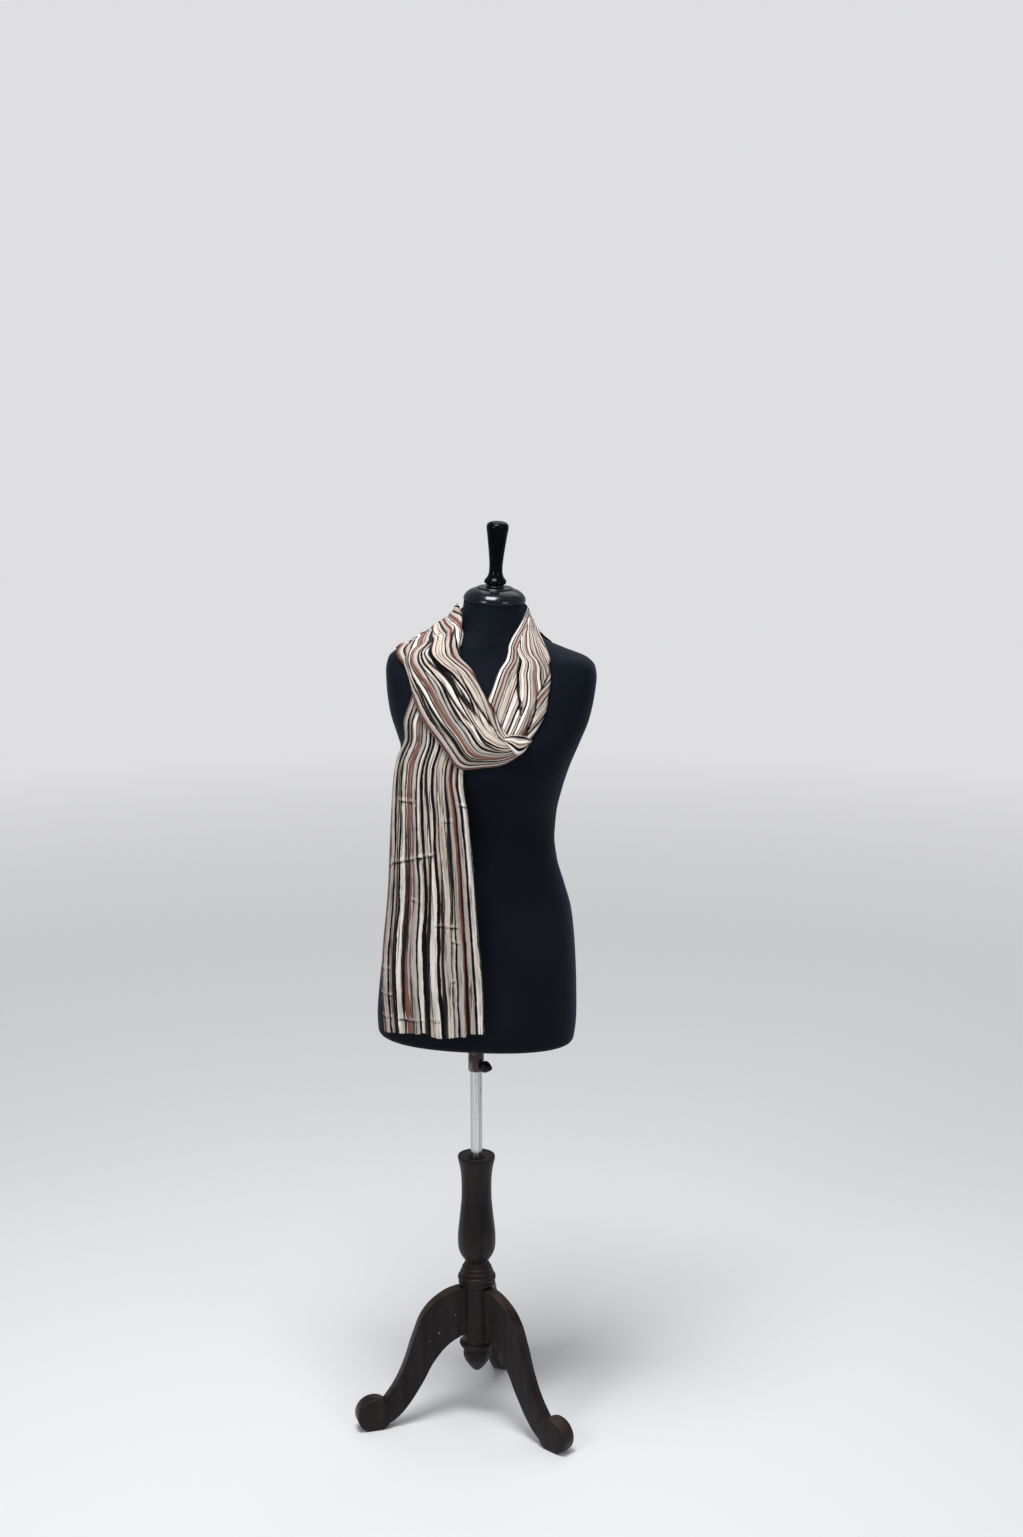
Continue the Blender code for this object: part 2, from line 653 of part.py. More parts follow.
def add_grid(shape, grid):
    """Add a grid of points to a bmesh, with two triangles to a cell."""
    verts = [[shape.verts.new(point) for point in row] for row in grid]
    for near, far in zip(verts, verts[1:]):
        for column in range(len(near) - 1):
            shape.faces.new((near[column], far[column], far[column + 1]))
            shape.faces.new((near[column], far[column + 1], near[column + 1]))
    return verts


def add_rims(shape, low_grid, high_grid):
    """Join the edges of two grids of verts with strips of faces."""
    rims = [(low_grid[end], high_grid[end]) for end in (0, -1)]
    rims += [([row[end] for row in low_grid], [row[end] for row in high_grid]) for end in (0, -1)]
    for low, high in rims:
        for index in range(len(low) - 1):
            shape.faces.new((low[index], low[index + 1], high[index + 1], high[index]))


def grown(grid):
    """Grid whose outermost points are moved out by a margin, away from their inner neighbours."""
    last, end = len(grid) - 1, len(grid[0]) - 1
    result = [list(row) for row in grid]
    for i, row in enumerate(grid):
        for j, point in enumerate(row):
            inner = grid[min(max(i, 1), last - 1)][j] if i in (0, last) else row[j]
            beside = grid[i][min(max(j, 1), end - 1)] if j in (0, end) else row[j]
            for neighbour in (inner, beside):
                if neighbour is not point:
                    result[i][j] = result[i][j] + (point - neighbour).normalized() * EDGE_MARGIN
    return result


def outer_tree(grid):
    """Searchable copy of a wall's outer side, a little larger than it all round."""
    shape = bmesh.new()
    add_grid(shape, grown(grid))
    tree = BVHTree.FromBMesh(shape)
    shape.free()
    return tree


def wall_mesh(name, inner_grid, outer_grid):
    """Closed wall between two grids of points."""
    shape = bmesh.new()
    inner = add_grid(shape, inner_grid)
    outer = add_grid(shape, outer_grid)
    add_rims(shape, inner, outer)
    bmesh.ops.recalc_face_normals(shape, faces=shape.faces)
    return bmesh_to_mesh(name, shape)


def build_stretch(name, stretch, underlays, collection, lean):
    """One stretch of the stole that shows, as a pleated wall; returns its outer side."""
    points, normals, lifts = stretch_grid(stretch)
    lifts = raise_clear(points, normals, lifts, underlays)
    inner_grid = lifted_points(points, normals, lifts, 0.0)
    outer_grid = lifted_points(points, normals, lifts, CLOTH_WALL)
    cloth = new_material(name, CLOTH_COLOUR, 0.8)
    place_mesh(name, wall_mesh(name, inner_grid, outer_grid), collection, cloth, lean)
    return outer_tree(outer_grid)


def hang_surface(hang):
    """A hanging surface below, and the form itself above."""
    return hang + [section for section in FORM_SECTIONS if section.height > hang[-1].height]


# On a row, the outer edge is the one away from the neck. Depths and crowns are metres.

def front_tail_rows(surface):
    """From under the band on the left shoulder, over the bust and down to the hem."""
    return [
        Row((-179.85, 0.722), (-179.85, 0.778), 0.0035, 0.000),
        Row(front(-0.124, 0.690, surface), front(-0.050, 0.740, surface), 0.0045, 0.000),
        Row(front(-0.134, 0.640, surface), front(-0.040, 0.670, surface), 0.0050, 0.000),
        Row(front(-0.145, 0.580, surface), front(-0.036, 0.600, surface), 0.0055, 0.000),
        Row(front(-0.158, 0.510, surface), front(-0.040, 0.520, surface), 0.0060, 0.000),
        Row(front(-0.162, 0.430, surface), front(-0.029, 0.440, surface), 0.0070, 0.001),
        Row(front(-0.163, 0.350, surface), front(-0.018, 0.360, surface), 0.0080, 0.002),
        Row(front(-0.164, 0.270, surface), front(-0.009, 0.280, surface), 0.0085, 0.002),
        Row(front(-0.169, 0.180, surface), front(0.002, 0.195, surface), 0.0085, 0.001),
        Row(front(-0.168, 0.100, surface), front(0.010, 0.120, surface), 0.0080, 0.000),
        Row(front(-0.161, 0.022, surface), front(0.014, 0.050, surface), 0.0070, 0.000),
    ]


def neck_wrap_rows():
    """From the left shoulder, under the band, behind the neck to the right side."""
    return [
        Row((-180.15, 0.722), (-180.15, 0.778), 0.0035, 0.000),
        Row((-205, 0.714), (-205, 0.784), 0.0045, 0.000),
        Row((-235, 0.700), (-235, 0.789), 0.0055, 0.003),
        Row((-270, 0.696), (-270, 0.792), 0.0060, 0.004),
        Row((-305, 0.706), (-305, 0.792), 0.0060, 0.004),
        Row((-335, 0.732), (-335, 0.792), 0.0055, 0.004),
        Row((-359.85, 0.742), (-359.85, 0.792), 0.0050, 0.004),
    ]


def right_drop_rows():
    """From the right side of the neck down to the fold under the end of the band."""
    return [
        Row((-0.15, 0.742), (-0.15, 0.792), 0.0050, 0.004),
        Row(front(0.093, 0.722), front(0.046, 0.770), 0.0055, 0.004),
        Row(front(0.100, 0.694), front(0.027, 0.731), 0.0060, 0.004),
        Row(front(0.101, 0.661), front(0.013, 0.690), 0.0065, 0.004),
        Row(front(0.097, 0.630), front(0.001, 0.655), 0.0060, 0.002),
        Row(front(0.083, 0.596), front(-0.008, 0.622), 0.0045, 0.000),
        Row(front(0.066, 0.574), front(-0.012, 0.590), 0.0040, 0.000),
        Row(front(0.046, 0.562), front(-0.012, 0.570), 0.0035, 0.000),
    ]


def front_band_rows():
    """From the top of the left shoulder, across the chest to the fold at the right."""
    return [
        Row((-179.85, 0.705), (-179.85, 0.788), 0.0050, 0.001),
        Row(front(-0.150, 0.686), front(-0.051, 0.763), 0.0055, 0.002),
        Row(front(-0.134, 0.650), front(-0.050, 0.730), 0.0060, 0.003),
        Row(front(-0.120, 0.616), front(-0.034, 0.688), 0.0065, 0.004),
        Row(front(-0.098, 0.583), front(-0.014, 0.655), 0.0070, 0.005),
        Row(front(-0.070, 0.554), front(0.004, 0.630), 0.0070, 0.005),
        Row(front(-0.030, 0.526), front(0.020, 0.599), 0.0065, 0.005),
        Row(front(0.010, 0.532), front(0.034, 0.583), 0.0050, 0.004),
        Row(front(0.040, 0.545), front(0.050, 0.580), 0.0035, 0.003),
        Row(front(0.064, 0.561), front(0.068, 0.580), 0.0020, 0.001),
    ]


def back_tail_rows(surface):
    """From the top of the left shoulder, over the neck wrap and down the back."""
    return [
        Row((-180.15, 0.705), (-180.15, 0.788), 0.0050, 0.001),
        Row(back(-0.160, 0.688, surface), back(-0.064, 0.752, surface), 0.0050, 0.001),
        Row(back(-0.160, 0.670, surface), back(-0.063, 0.728, surface), 0.0052, 0.001),
        Row(back(-0.158, 0.645, surface), back(-0.062, 0.695, surface), 0.0055, 0.001),
        Row(back(-0.155, 0.590, surface), back(-0.056, 0.630, surface), 0.0060, 0.000),
        Row(back(-0.154, 0.500, surface), back(-0.048, 0.520, surface), 0.0070, 0.000),
        Row(back(-0.156, 0.410, surface), back(-0.042, 0.420, surface), 0.0075, 0.000),
        Row(back(-0.158, 0.330, surface), back(-0.040, 0.340, surface), 0.0070, 0.000),
    ]


def build_stole(parts, lean, form_tree):
    """The stretches in the order they were laid on, each over those under it."""
    front_surface = hang_surface(FRONT_HANG)
    back_surface = hang_surface(BACK_HANG)
    tail = Stretch(front_surface, front_tail_rows(front_surface), 10, 14, 1, -1, -1)
    wrap = Stretch(FORM_SECTIONS, neck_wrap_rows(), 7, 11, 2, -1, 1)
    drop = Stretch(FORM_SECTIONS, right_drop_rows(), 7, 10, 2, 0, 1)
    band = Stretch(FORM_SECTIONS, front_band_rows(), 8, 14, 4, 0, 1)
    hanging = Stretch(back_surface, back_tail_rows(back_surface), 8, 9, 4, 0, -1)
    tail_side = build_stretch("stole_front_tail", tail, [form_tree], parts, lean)
    wrap_side = build_stretch("stole_neck_wrap", wrap, [form_tree], parts, lean)
    drop_side = build_stretch("stole_right_drop", drop, [form_tree], parts, lean)
    build_stretch("stole_front_band", band, [form_tree, tail_side, wrap_side, drop_side], parts, lean)
    build_stretch("stole_back_tail", hanging, [form_tree, tail_side, wrap_side], parts, lean)


def main():
    clear_scene()
    parts = new_collection("chiffon_stole_on_dress_form")
    cutters = new_collection("cutters")
    stand = new_empty("stand", parts, (POLE_X, POLE_Y, 0))
    lean = new_empty("lean", parts, (0, 0, HEM_HEIGHT), stand)
    lean.rotation_euler = (0, LEAN, 0)
    build_stand(parts, cutters, stand)
    build_collar(parts, cutters, stand)
    form_tree = build_form(parts, cutters, stand, lean)
    build_stole(parts, lean, form_tree)
    bpy.context.view_layer.update()


main()
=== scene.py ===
"""Chiffon stole wound round a limbless dress form on a turned wooden tripod stand.

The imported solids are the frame. Each is replaced here by a piece with the real one's
finish, in metres, where the solid is. The form, its cap and the stole are drawn in the
form's own frame, which stands on the hem and leans a little sideways, and a place on the
form is an angle round it, in degrees, and a height above its hem.
"""
import math
from collections import namedtuple
from functools import partial

import bmesh
import bpy
import numpy as np
from mathutils import Matrix, Vector
from mathutils.bvhtree import BVHTree


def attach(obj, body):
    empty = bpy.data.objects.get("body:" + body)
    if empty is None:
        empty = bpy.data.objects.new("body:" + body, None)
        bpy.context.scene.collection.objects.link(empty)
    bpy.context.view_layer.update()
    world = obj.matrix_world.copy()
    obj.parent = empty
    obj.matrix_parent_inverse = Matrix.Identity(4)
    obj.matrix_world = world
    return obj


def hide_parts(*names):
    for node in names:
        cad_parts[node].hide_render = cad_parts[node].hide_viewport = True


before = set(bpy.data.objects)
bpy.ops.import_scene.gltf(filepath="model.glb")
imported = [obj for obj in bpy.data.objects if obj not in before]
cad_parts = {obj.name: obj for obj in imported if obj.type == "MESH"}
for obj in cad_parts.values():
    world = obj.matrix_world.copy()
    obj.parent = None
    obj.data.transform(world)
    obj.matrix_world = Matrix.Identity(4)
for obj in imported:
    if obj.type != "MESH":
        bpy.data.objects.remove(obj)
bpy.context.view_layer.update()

# The pole's axis, and the form's frame on it
POLE_X = 0.0065
POLE_Y = -0.0296
HEM_HEIGHT = 0.7520
LEAN = math.radians(2.5)
STAND_PLACE = Matrix.Translation((POLE_X, POLE_Y, 0))
FORM_PLACE = STAND_PLACE @ Matrix.Translation((0, 0, HEM_HEIGHT)) @ Matrix.Rotation(LEAN, 4, "Y")

Turn = namedtuple("Turn", "radius height")
Section = namedtuple("Section", "height half_width front back squareness")
Row = namedtuple("Row", "outer inner")
Edge = namedtuple("Edge", "outer outer_height inner inner_height")
Stripe = namedtuple("Stripe", "width colour")
Crease = namedtuple("Crease", "start end along rise height")
Valley = namedtuple("Valley", "place end_place start end width depth")
Lap = namedtuple("Lap", "edge side height start end shift")
TurnedWood = namedtuple("TurnedWood", "node runs grain_scale rubbing flutes")
Lamp = namedtuple("Lamp", "name place size power")

# Stand sizes
HUB_RADIUS = 0.0270
HUB_FOOT = 0.1500
HUB_TOP = 0.2637
HUB_BEVEL = 0.0008
POLE_RADIUS = 0.0108
POLE_FOOT = 0.4203
POLE_TOP = 1.1000
POLE_BEVEL = 0.0006
LEG_THICKNESS = 0.0220
LEG_ROUNDING = 0.0022
LEG_ANGLES = {"left": -73.5, "right": 46.5, "back": 166.5}
FOOT_DISTANCE = 0.2000
FOOT_RADIUS = 0.0330
FOOT_THICKNESS = 0.0300
FOOT_HEIGHT = 0.0295
FOOT_ROUNDING = 0.0026
FLUTES = 12
FLUTE_DEPTH = 0.0022
LEG_TOP_EDGE = [(0.0200, 0.2632), (0.0400, 0.2625), (0.0700, 0.2510), (0.1010, 0.2240),
                (0.1230, 0.1760), (0.1390, 0.1280), (0.1580, 0.0870), (0.1860, 0.0480)]
LEG_LOW_EDGE = [(0.1860, 0.0035), (0.1620, 0.0150), (0.1420, 0.0330), (0.1090, 0.0800),
                (0.0830, 0.1250), (0.0530, 0.1560), (0.0200, 0.1720)]

# Turned profiles, as smooth runs that meet at corners, each from where the one before it ends
PROFILE_STEPS = 5
COLUMN_RUNS = [
    [Turn(0.0112, 0.4900), Turn(0.0112, 0.5195)],
    [Turn(0.0120, 0.5204), Turn(0.0140, 0.5205), Turn(0.0154, 0.5202)],
    [Turn(0.0162, 0.5182), Turn(0.0230, 0.5180), Turn(0.0300, 0.5186)],
    [Turn(0.0314, 0.5200), Turn(0.0330, 0.5202), Turn(0.0339, 0.5192), Turn(0.0343, 0.5170),
     Turn(0.0313, 0.5017), Turn(0.0288, 0.4860), Turn(0.0275, 0.4600), Turn(0.0277, 0.4385),
     Turn(0.0289, 0.4226), Turn(0.0321, 0.3908), Turn(0.0341, 0.3730), Turn(0.0350, 0.3560),
     Turn(0.0347, 0.3431), Turn(0.0332, 0.3345), Turn(0.0296, 0.3255), Turn(0.0246, 0.3175),
     Turn(0.0211, 0.3120), Turn(0.0205, 0.3095)],
    [Turn(0.0222, 0.3080), Turn(0.0237, 0.3060), Turn(0.0241, 0.3040), Turn(0.0237, 0.3025)],
    [Turn(0.0262, 0.3013), Turn(0.0275, 0.2990), Turn(0.0275, 0.2965), Turn(0.0268, 0.2948)],
    [Turn(0.0292, 0.2936), Turn(0.0305, 0.2910), Turn(0.0305, 0.2885), Turn(0.0297, 0.2866)],
    [Turn(0.0330, 0.2850), Turn(0.0348, 0.2822), Turn(0.0353, 0.2785), Turn(0.0346, 0.2752),
     Turn(0.0328, 0.2729)],
    [Turn(0.0341, 0.2709), Turn(0.0340, 0.2682), Turn(0.0322, 0.2656), Turn(0.0286, 0.2643)],
    [Turn(0.0, 0.2643)],
]
DROP_FINIAL_RUNS = [
    [Turn(0.0, 0.1497), Turn(0.0300, 0.1497)],
    [Turn(0.0321, 0.1489), Turn(0.0328, 0.1465), Turn(0.0320, 0.1441), Turn(0.0298, 0.1427)],
    [Turn(0.0303, 0.1414), Turn(0.0290, 0.1397), Turn(0.0242, 0.1388)],
    [Turn(0.0230, 0.1372), Turn(0.0243, 0.1335), Turn(0.0257, 0.1290), Turn(0.0259, 0.1245),
     Turn(0.0240, 0.1160), Turn(0.0178, 0.1050), Turn(0.0102, 0.0955), Turn(0.0042, 0.0903),
     Turn(0.0, 0.0890)],
]
COLLAR_RUNS = [
    [Turn(0.0112, 0.7635), Turn(0.0118, 0.7640)],
    [Turn(0.0138, 0.7640), Turn(0.0143, 0.7634)],
    [Turn(0.0143, 0.6862)],
    [Turn(0.0140, 0.6852), Turn(0.0131, 0.6850), Turn(0.0118, 0.6851)],
    [Turn(0.0112, 0.6857)],
    [Turn(0.0112, 0.7635)],
]
KNOB_RUNS = [
    [Turn(0.0, 0.0370), Turn(0.0020, 0.0367), Turn(0.0038, 0.0352), Turn(0.0056, 0.0326),
     Turn(0.0080, 0.0290), Turn(0.0101, 0.0250), Turn(0.0110, 0.0220), Turn(0.0107, 0.0198),
     Turn(0.0092, 0.0176), Turn(0.0070, 0.0163), Turn(0.0040, 0.0158)],
    [Turn(0.0022, 0.0158)],
    [Turn(0.0022, 0.0112)],
    [Turn(0.0, 0.0112)],
]
KNOB_HEIGHT = 0.6960
KNOB_ANGLE = 50.0
CAP_RUNS = [
    [Turn(0.0, 0.8289), Turn(0.0130, 0.8289), Turn(0.0148, 0.8284), Turn(0.0157, 0.8272),
     Turn(0.0160, 0.8258), Turn(0.0170, 0.8247)],
    [Turn(0.0168, 0.8247)],
    [Turn(0.0220, 0.8241), Turn(0.0285, 0.8240), Turn(0.0304, 0.8237), Turn(0.0315, 0.8226),
     Turn(0.0320, 0.8212)],
    [Turn(0.0365, 0.8202), Turn(0.0415, 0.8184), Turn(0.0470, 0.8150), Turn(0.0515, 0.8105),
     Turn(0.0541, 0.8055), Turn(0.0545, 0.8022), Turn(0.0538, 0.8000), Turn(0.0520, 0.7986)],
    [Turn(0.0, 0.7986)],
]
NECK_FINIAL_RUNS = [
    [Turn(0.0, 0.9390), Turn(0.0070, 0.9386), Turn(0.0130, 0.9373), Turn(0.0170, 0.9350),
     Turn(0.0190, 0.9318), Turn(0.0194, 0.9280), Turn(0.0178, 0.9163), Turn(0.0150, 0.8950),
     Turn(0.0126, 0.8740), Turn(0.0116, 0.8600), Turn(0.0117, 0.8530), Turn(0.0127, 0.8462),
     Turn(0.0152, 0.8404), Turn(0.0182, 0.8368), Turn(0.0193, 0.8344), Turn(0.0194, 0.8322),
     Turn(0.0184, 0.8302), Turn(0.0160, 0.8291)],
    [Turn(0.0, 0.8291)],
]

FORM_SECTIONS = [
    Section(0.000, 0.1690, 0.0960, 0.1040, 2.30),
    Section(0.003, 0.1740, 0.1010, 0.1090, 2.30),
    Section(0.010, 0.1775, 0.1045, 0.1130, 2.30),
    Section(0.045, 0.1800, 0.1070, 0.1200, 2.30),
    Section(0.110, 0.1770, 0.1080, 0.1220, 2.30),
    Section(0.160, 0.1730, 0.1070, 0.1170, 2.30),
    Section(0.205, 0.1680, 0.1050, 0.1080, 2.20),
    Section(0.250, 0.1605, 0.1010, 0.0980, 2.20),
    Section(0.295, 0.1460, 0.0960, 0.0890, 2.10),
    Section(0.340, 0.1310, 0.0910, 0.0830, 2.10),
    Section(0.385, 0.1245, 0.0900, 0.0810, 2.10),
    Section(0.425, 0.1260, 0.0980, 0.0830, 2.10),
    Section(0.470, 0.1340, 0.1130, 0.0870, 2.15),
    Section(0.513, 0.1455, 0.1240, 0.0910, 2.20),
    Section(0.556, 0.1610, 0.1220, 0.0950, 2.30),
    Section(0.600, 0.1760, 0.1080, 0.0980, 2.40),
    Section(0.643, 0.1830, 0.0920, 0.0980, 2.50),
    Section(0.672, 0.1850, 0.0790, 0.0940, 2.60),
    Section(0.690, 0.1820, 0.0710, 0.0890, 2.60),
    Section(0.703, 0.1700, 0.0660, 0.0840, 2.50),
    Section(0.716, 0.1350, 0.0620, 0.0780, 2.30),
    Section(0.732, 0.0950, 0.0590, 0.0690, 2.10),
    Section(0.752, 0.0670, 0.0560, 0.0600, 2.00),
    Section(0.775, 0.0560, 0.0540, 0.0550, 2.00),
    Section(0.7982, 0.0535, 0.0530, 0.0530, 2.00),
]
HEM_CURVE = 0.012
NECK_FOOT = 0.69
FORM_BORE = 0.0148
# The surfaces that the two ends of the stole hang on, below the bust and the shoulder blade
FRONT_HANG = [
    Section(0.000, 0.1870, 0.1260, 0.1200, 2.30),
    Section(0.100, 0.1880, 0.1270, 0.1200, 2.30),
    Section(0.200, 0.1850, 0.1280, 0.1200, 2.30),
    Section(0.300, 0.1810, 0.1290, 0.1200, 2.30),
    Section(0.400, 0.1780, 0.1290, 0.1200, 2.30),
    Section(0.470, 0.1740, 0.1270, 0.1200, 2.30),
    Section(0.520, 0.1680, 0.1250, 0.1000, 2.30),
]
BACK_HANG = [
    Section(0.200, 0.1780, 0.1200, 0.1180, 2.40),
    Section(0.350, 0.1780, 0.1200, 0.1080, 2.40),
    Section(0.450, 0.1780, 0.1200, 0.1020, 2.40),
    Section(0.520, 0.1780, 0.1220, 0.0990, 2.40),
]

# Stripes of the cloth from its outer edge, widths in millimetres
STRIPES = [
    Stripe(3, "sand"), Stripe(7, "brick"), Stripe(9, "haze"), Stripe(4, "black"),
    Stripe(11, "tan"), Stripe(5, "black"), Stripe(10, "cream"), Stripe(4, "umber"),
    Stripe(2, "cream"), Stripe(9, "terracotta"), Stripe(14, "haze"), Stripe(3, "black"),
    Stripe(8, "cream"), Stripe(7, "black"), Stripe(6, "blush"), Stripe(2, "black"),
    Stripe(12, "cream"), Stripe(6, "black"), Stripe(6, "blush"), Stripe(2, "umber"),
    Stripe(11, "sand"), Stripe(1.5, "umber"), Stripe(6.5, "sand"), Stripe(3, "black"),
    Stripe(9, "haze"), Stripe(8, "terracotta"), Stripe(8, "haze"), Stripe(4, "black"),
    Stripe(9, "cream"), Stripe(3, "smoke"),
]
CLOTH_COLOURS = {
    "cream": (0.80, 0.74, 0.67),
    "sand": (0.58, 0.505, 0.435),
    "tan": (0.46, 0.385, 0.325),
    "haze": (0.44, 0.39, 0.36),
    "blush": (0.55, 0.43, 0.37),
    "terracotta": (0.195, 0.072, 0.050),
    "brick": (0.160, 0.056, 0.042),
    "umber": (0.025, 0.017, 0.015),
    "smoke": (0.050, 0.048, 0.050),
    "black": (0.0030, 0.0030, 0.0040),
}
CLOTH_WIDTH = sum(stripe.width for stripe in STRIPES) / 1000
CLOTH_THICKNESS = 0.0007
CLOTH_GAP = 0.0007
HEM_ROLL = 0.055
# Places about a cell of the grid where a fold is read, so that slanting folds come out smooth
PLEAT_SAMPLES = (-0.5, -0.33, -0.17, 0.0, 0.17, 0.33, 0.5)
PLEAT_SHARPNESS = 0.75
WIDEST_PLEAT = 0.055
CREASE_SIZE = 0.0022
LAP_EASE = 0.08
COVER_REACH = 0.018
LINE_STEPS = 61
# Places across the cloth, from 0 to 1, of the dark stripes that its folds part along
DARK_LINES = [0.13, 0.21, 0.285, 0.42, 0.49, 0.55, 0.63, 0.70, 0.79, 0.94]

# Edges of the stretches of cloth, from each one's start, by distance right of the middle and height,
# and rows where it goes round the neck, by angle and height
TAIL_TOP = Row((-179.85, 0.722), (-179.85, 0.779))
TAIL_EDGES = [
    Edge(-0.124, 0.690, -0.050, 0.740), Edge(-0.134, 0.640, -0.040, 0.670),
    Edge(-0.145, 0.580, -0.036, 0.600), Edge(-0.158, 0.510, -0.040, 0.520),
    Edge(-0.162, 0.430, -0.029, 0.440), Edge(-0.163, 0.350, -0.018, 0.360),
    Edge(-0.164, 0.270, -0.009, 0.280), Edge(-0.169, 0.180, 0.002, 0.195),
    Edge(-0.168, 0.100, 0.010, 0.120), Edge(-0.161, 0.030, 0.014, 0.048),
]
WRAP_ROWS = [
    Row((-180.15, 0.722), (-180.15, 0.779)), Row((-205, 0.714), (-205, 0.783)),
    Row((-235, 0.700), (-235, 0.787)), Row((-270, 0.696), (-270, 0.792)),
    Row((-305, 0.706), (-305, 0.792)), Row((-335, 0.732), (-335, 0.792)),
    Row((-360, 0.742), (-360, 0.792)),
]
DROP_EDGES = [
    Edge(0.093, 0.722, 0.046, 0.770), Edge(0.100, 0.694, 0.027, 0.731),
    Edge(0.101, 0.661, 0.013, 0.690), Edge(0.097, 0.630, 0.001, 0.655),
    Edge(0.083, 0.596, -0.008, 0.622), Edge(0.066, 0.574, -0.012, 0.590),
    Edge(0.046, 0.562, -0.012, 0.570),
]
BAND_FRONT_EDGES = [
    Edge(0.064, 0.561, 0.068, 0.580), Edge(0.040, 0.545, 0.050, 0.580),
    Edge(0.010, 0.532, 0.034, 0.583), Edge(-0.030, 0.526, 0.020, 0.599),
    Edge(-0.070, 0.554, 0.004, 0.630), Edge(-0.098, 0.583, -0.014, 0.655),
    Edge(-0.120, 0.616, -0.034, 0.688), Edge(-0.134, 0.650, -0.049, 0.742),
    Edge(-0.150, 0.686, -0.0505, 0.784),
]
SHOULDER_ROW = Row((-180, 0.705), (-180, 0.791))
BAND_BACK_EDGES = [
    Edge(-0.160, 0.688, -0.051, 0.785), Edge(-0.160, 0.670, -0.060, 0.742),
    Edge(-0.158, 0.645, -0.062, 0.695), Edge(-0.155, 0.590, -0.056, 0.630),
    Edge(-0.154, 0.500, -0.048, 0.520), Edge(-0.156, 0.410, -0.042, 0.420),
    Edge(-0.158, 0.330, -0.040, 0.340),
]
TURNED_OVER_EDGES = [
    Edge(0.026, 0.574, 0.023, 0.579), Edge(0.038, 0.562, 0.042, 0.584),
    Edge(0.050, 0.554, 0.052, 0.584), Edge(0.061, 0.560, 0.062, 0.582),
    Edge(0.069, 0.571, 0.073, 0.577),
]

TAIL_VALLEYS = [
    Valley(0.55, 0.455, 0.56, 1.10, 0.0060, 0.0070),
    Valley(0.52, 0.56, 0.20, 0.58, 0.0035, 0.0040),
    Valley(0.15, 0.16, 0.42, 1.10, 0.0030, 0.0040),
    Valley(0.86, 0.85, 0.75, 1.10, 0.0030, 0.0040),
    Valley(0.66, 0.64, 0.62, 1.10, 0.0034, 0.0040),
    Valley(0.30, 0.27, 0.55, 0.95, 0.0034, 0.0035),
    Valley(0.78, 0.76, 0.30, 0.74, 0.0030, 0.0035),
]
DROP_VALLEYS = [
    Valley(0.735, 0.40, 0.66, 0.86, 0.0060, 0.0075),
    Valley(0.60, 0.66, 0.86, 0.99, 0.0034, 0.0040),
    Valley(0.22, 0.12, 0.76, 0.97, 0.0034, 0.0040),
]
BAND_VALLEYS = [
    Valley(0.72, 0.53, 0.15, 0.31, 0.0052, 0.0035),
    Valley(0.58, 0.49, 0.13, 0.26, 0.0036, 0.0030),
    Valley(0.52, 0.60, 0.03, 0.13, 0.0040, 0.0050),
    Valley(0.23, 0.20, 0.05, 0.26, 0.0034, 0.0040),
    Valley(0.86, 0.78, 0.08, 0.26, 0.0034, 0.0040),
    Valley(0.36, 0.44, 0.24, 0.36, 0.0036, 0.0040),
    Valley(0.14, 0.16, 0.16, 0.34, 0.0036, 0.0040),
    Valley(0.88, 0.80, 0.28, 0.38, 0.0040, 0.0040),
    Valley(0.30, 0.34, 0.60, 1.10, 0.0050, 0.0050),
]
# The edge and shift of a lap are read along the cloth, as pairs of a place along it and a share across
BAND_LAPS = [
    Lap([(0.05, 0.80), (0.12, 0.77), (0.20, 0.72), (0.28, 0.64), (0.325, 0.58), (0.42, 0.45),
         (0.55, 0.47), (1.0, 0.55)],
        1, 0.0045, 0.10, 0.80,
        [(0.06, 0.0), (0.19, -0.15), (0.24, -0.09), (0.32, 0.03), (0.39, 0.16), (0.46, 0.26),
         (0.55, 0.28)]),
]
DROP_LAPS = [
    Lap([(0.0, 0.70), (0.40, 0.76), (0.56, 0.80), (0.68, 0.72), (0.76, 0.58), (0.845, 0.38), (1.0, 0.34)],
        -1, 0.0020, 0.30, 0.98,
        [(0.30, -0.72), (0.45, -0.62), (0.56, -0.39), (0.68, -0.06), (0.82, 0.11), (0.93, 0.11)]),
    Lap([(0.50, -0.10), (0.58, 0.0), (0.66, 0.06), (0.74, 0.17), (0.84, 0.23), (0.93, 0.12), (1.0, 0.0)],
        -1, -0.0012, 0.55, 0.99,
        [(0.50, 0.28), (0.64, 0.0), (0.85, -0.42), (1.0, -0.55)]),
]
TAIL_CREASES = [
    Crease(0.14, 0.42, 0.440, 0.000, 0.0012), Crease(0.88, 1.00, 0.440, 0.003, 0.0012),
    Crease(0.70, 0.84, 0.480, 0.000, 0.0010), Crease(0.00, 0.08, 0.605, -0.012, 0.0016),
    Crease(0.06, 0.62, 0.592, -0.034, 0.0022), Crease(0.58, 0.82, 0.730, 0.002, 0.0016),
    Crease(0.00, 0.13, 0.845, 0.000, 0.0010), Crease(0.00, 0.14, 0.905, 0.002, 0.0012),
    Crease(0.00, 0.13, 0.960, 0.000, 0.0018), Crease(0.20, 0.44, 0.962, 0.003, 0.0018),
    Crease(0.49, 0.61, 0.960, 0.000, 0.0012), Crease(0.74, 0.82, 0.765, 0.010, 0.0012),
    Crease(0.71, 0.78, 0.870, -0.008, 0.0012), Crease(0.32, 0.42, 0.670, 0.006, 0.0010),
]
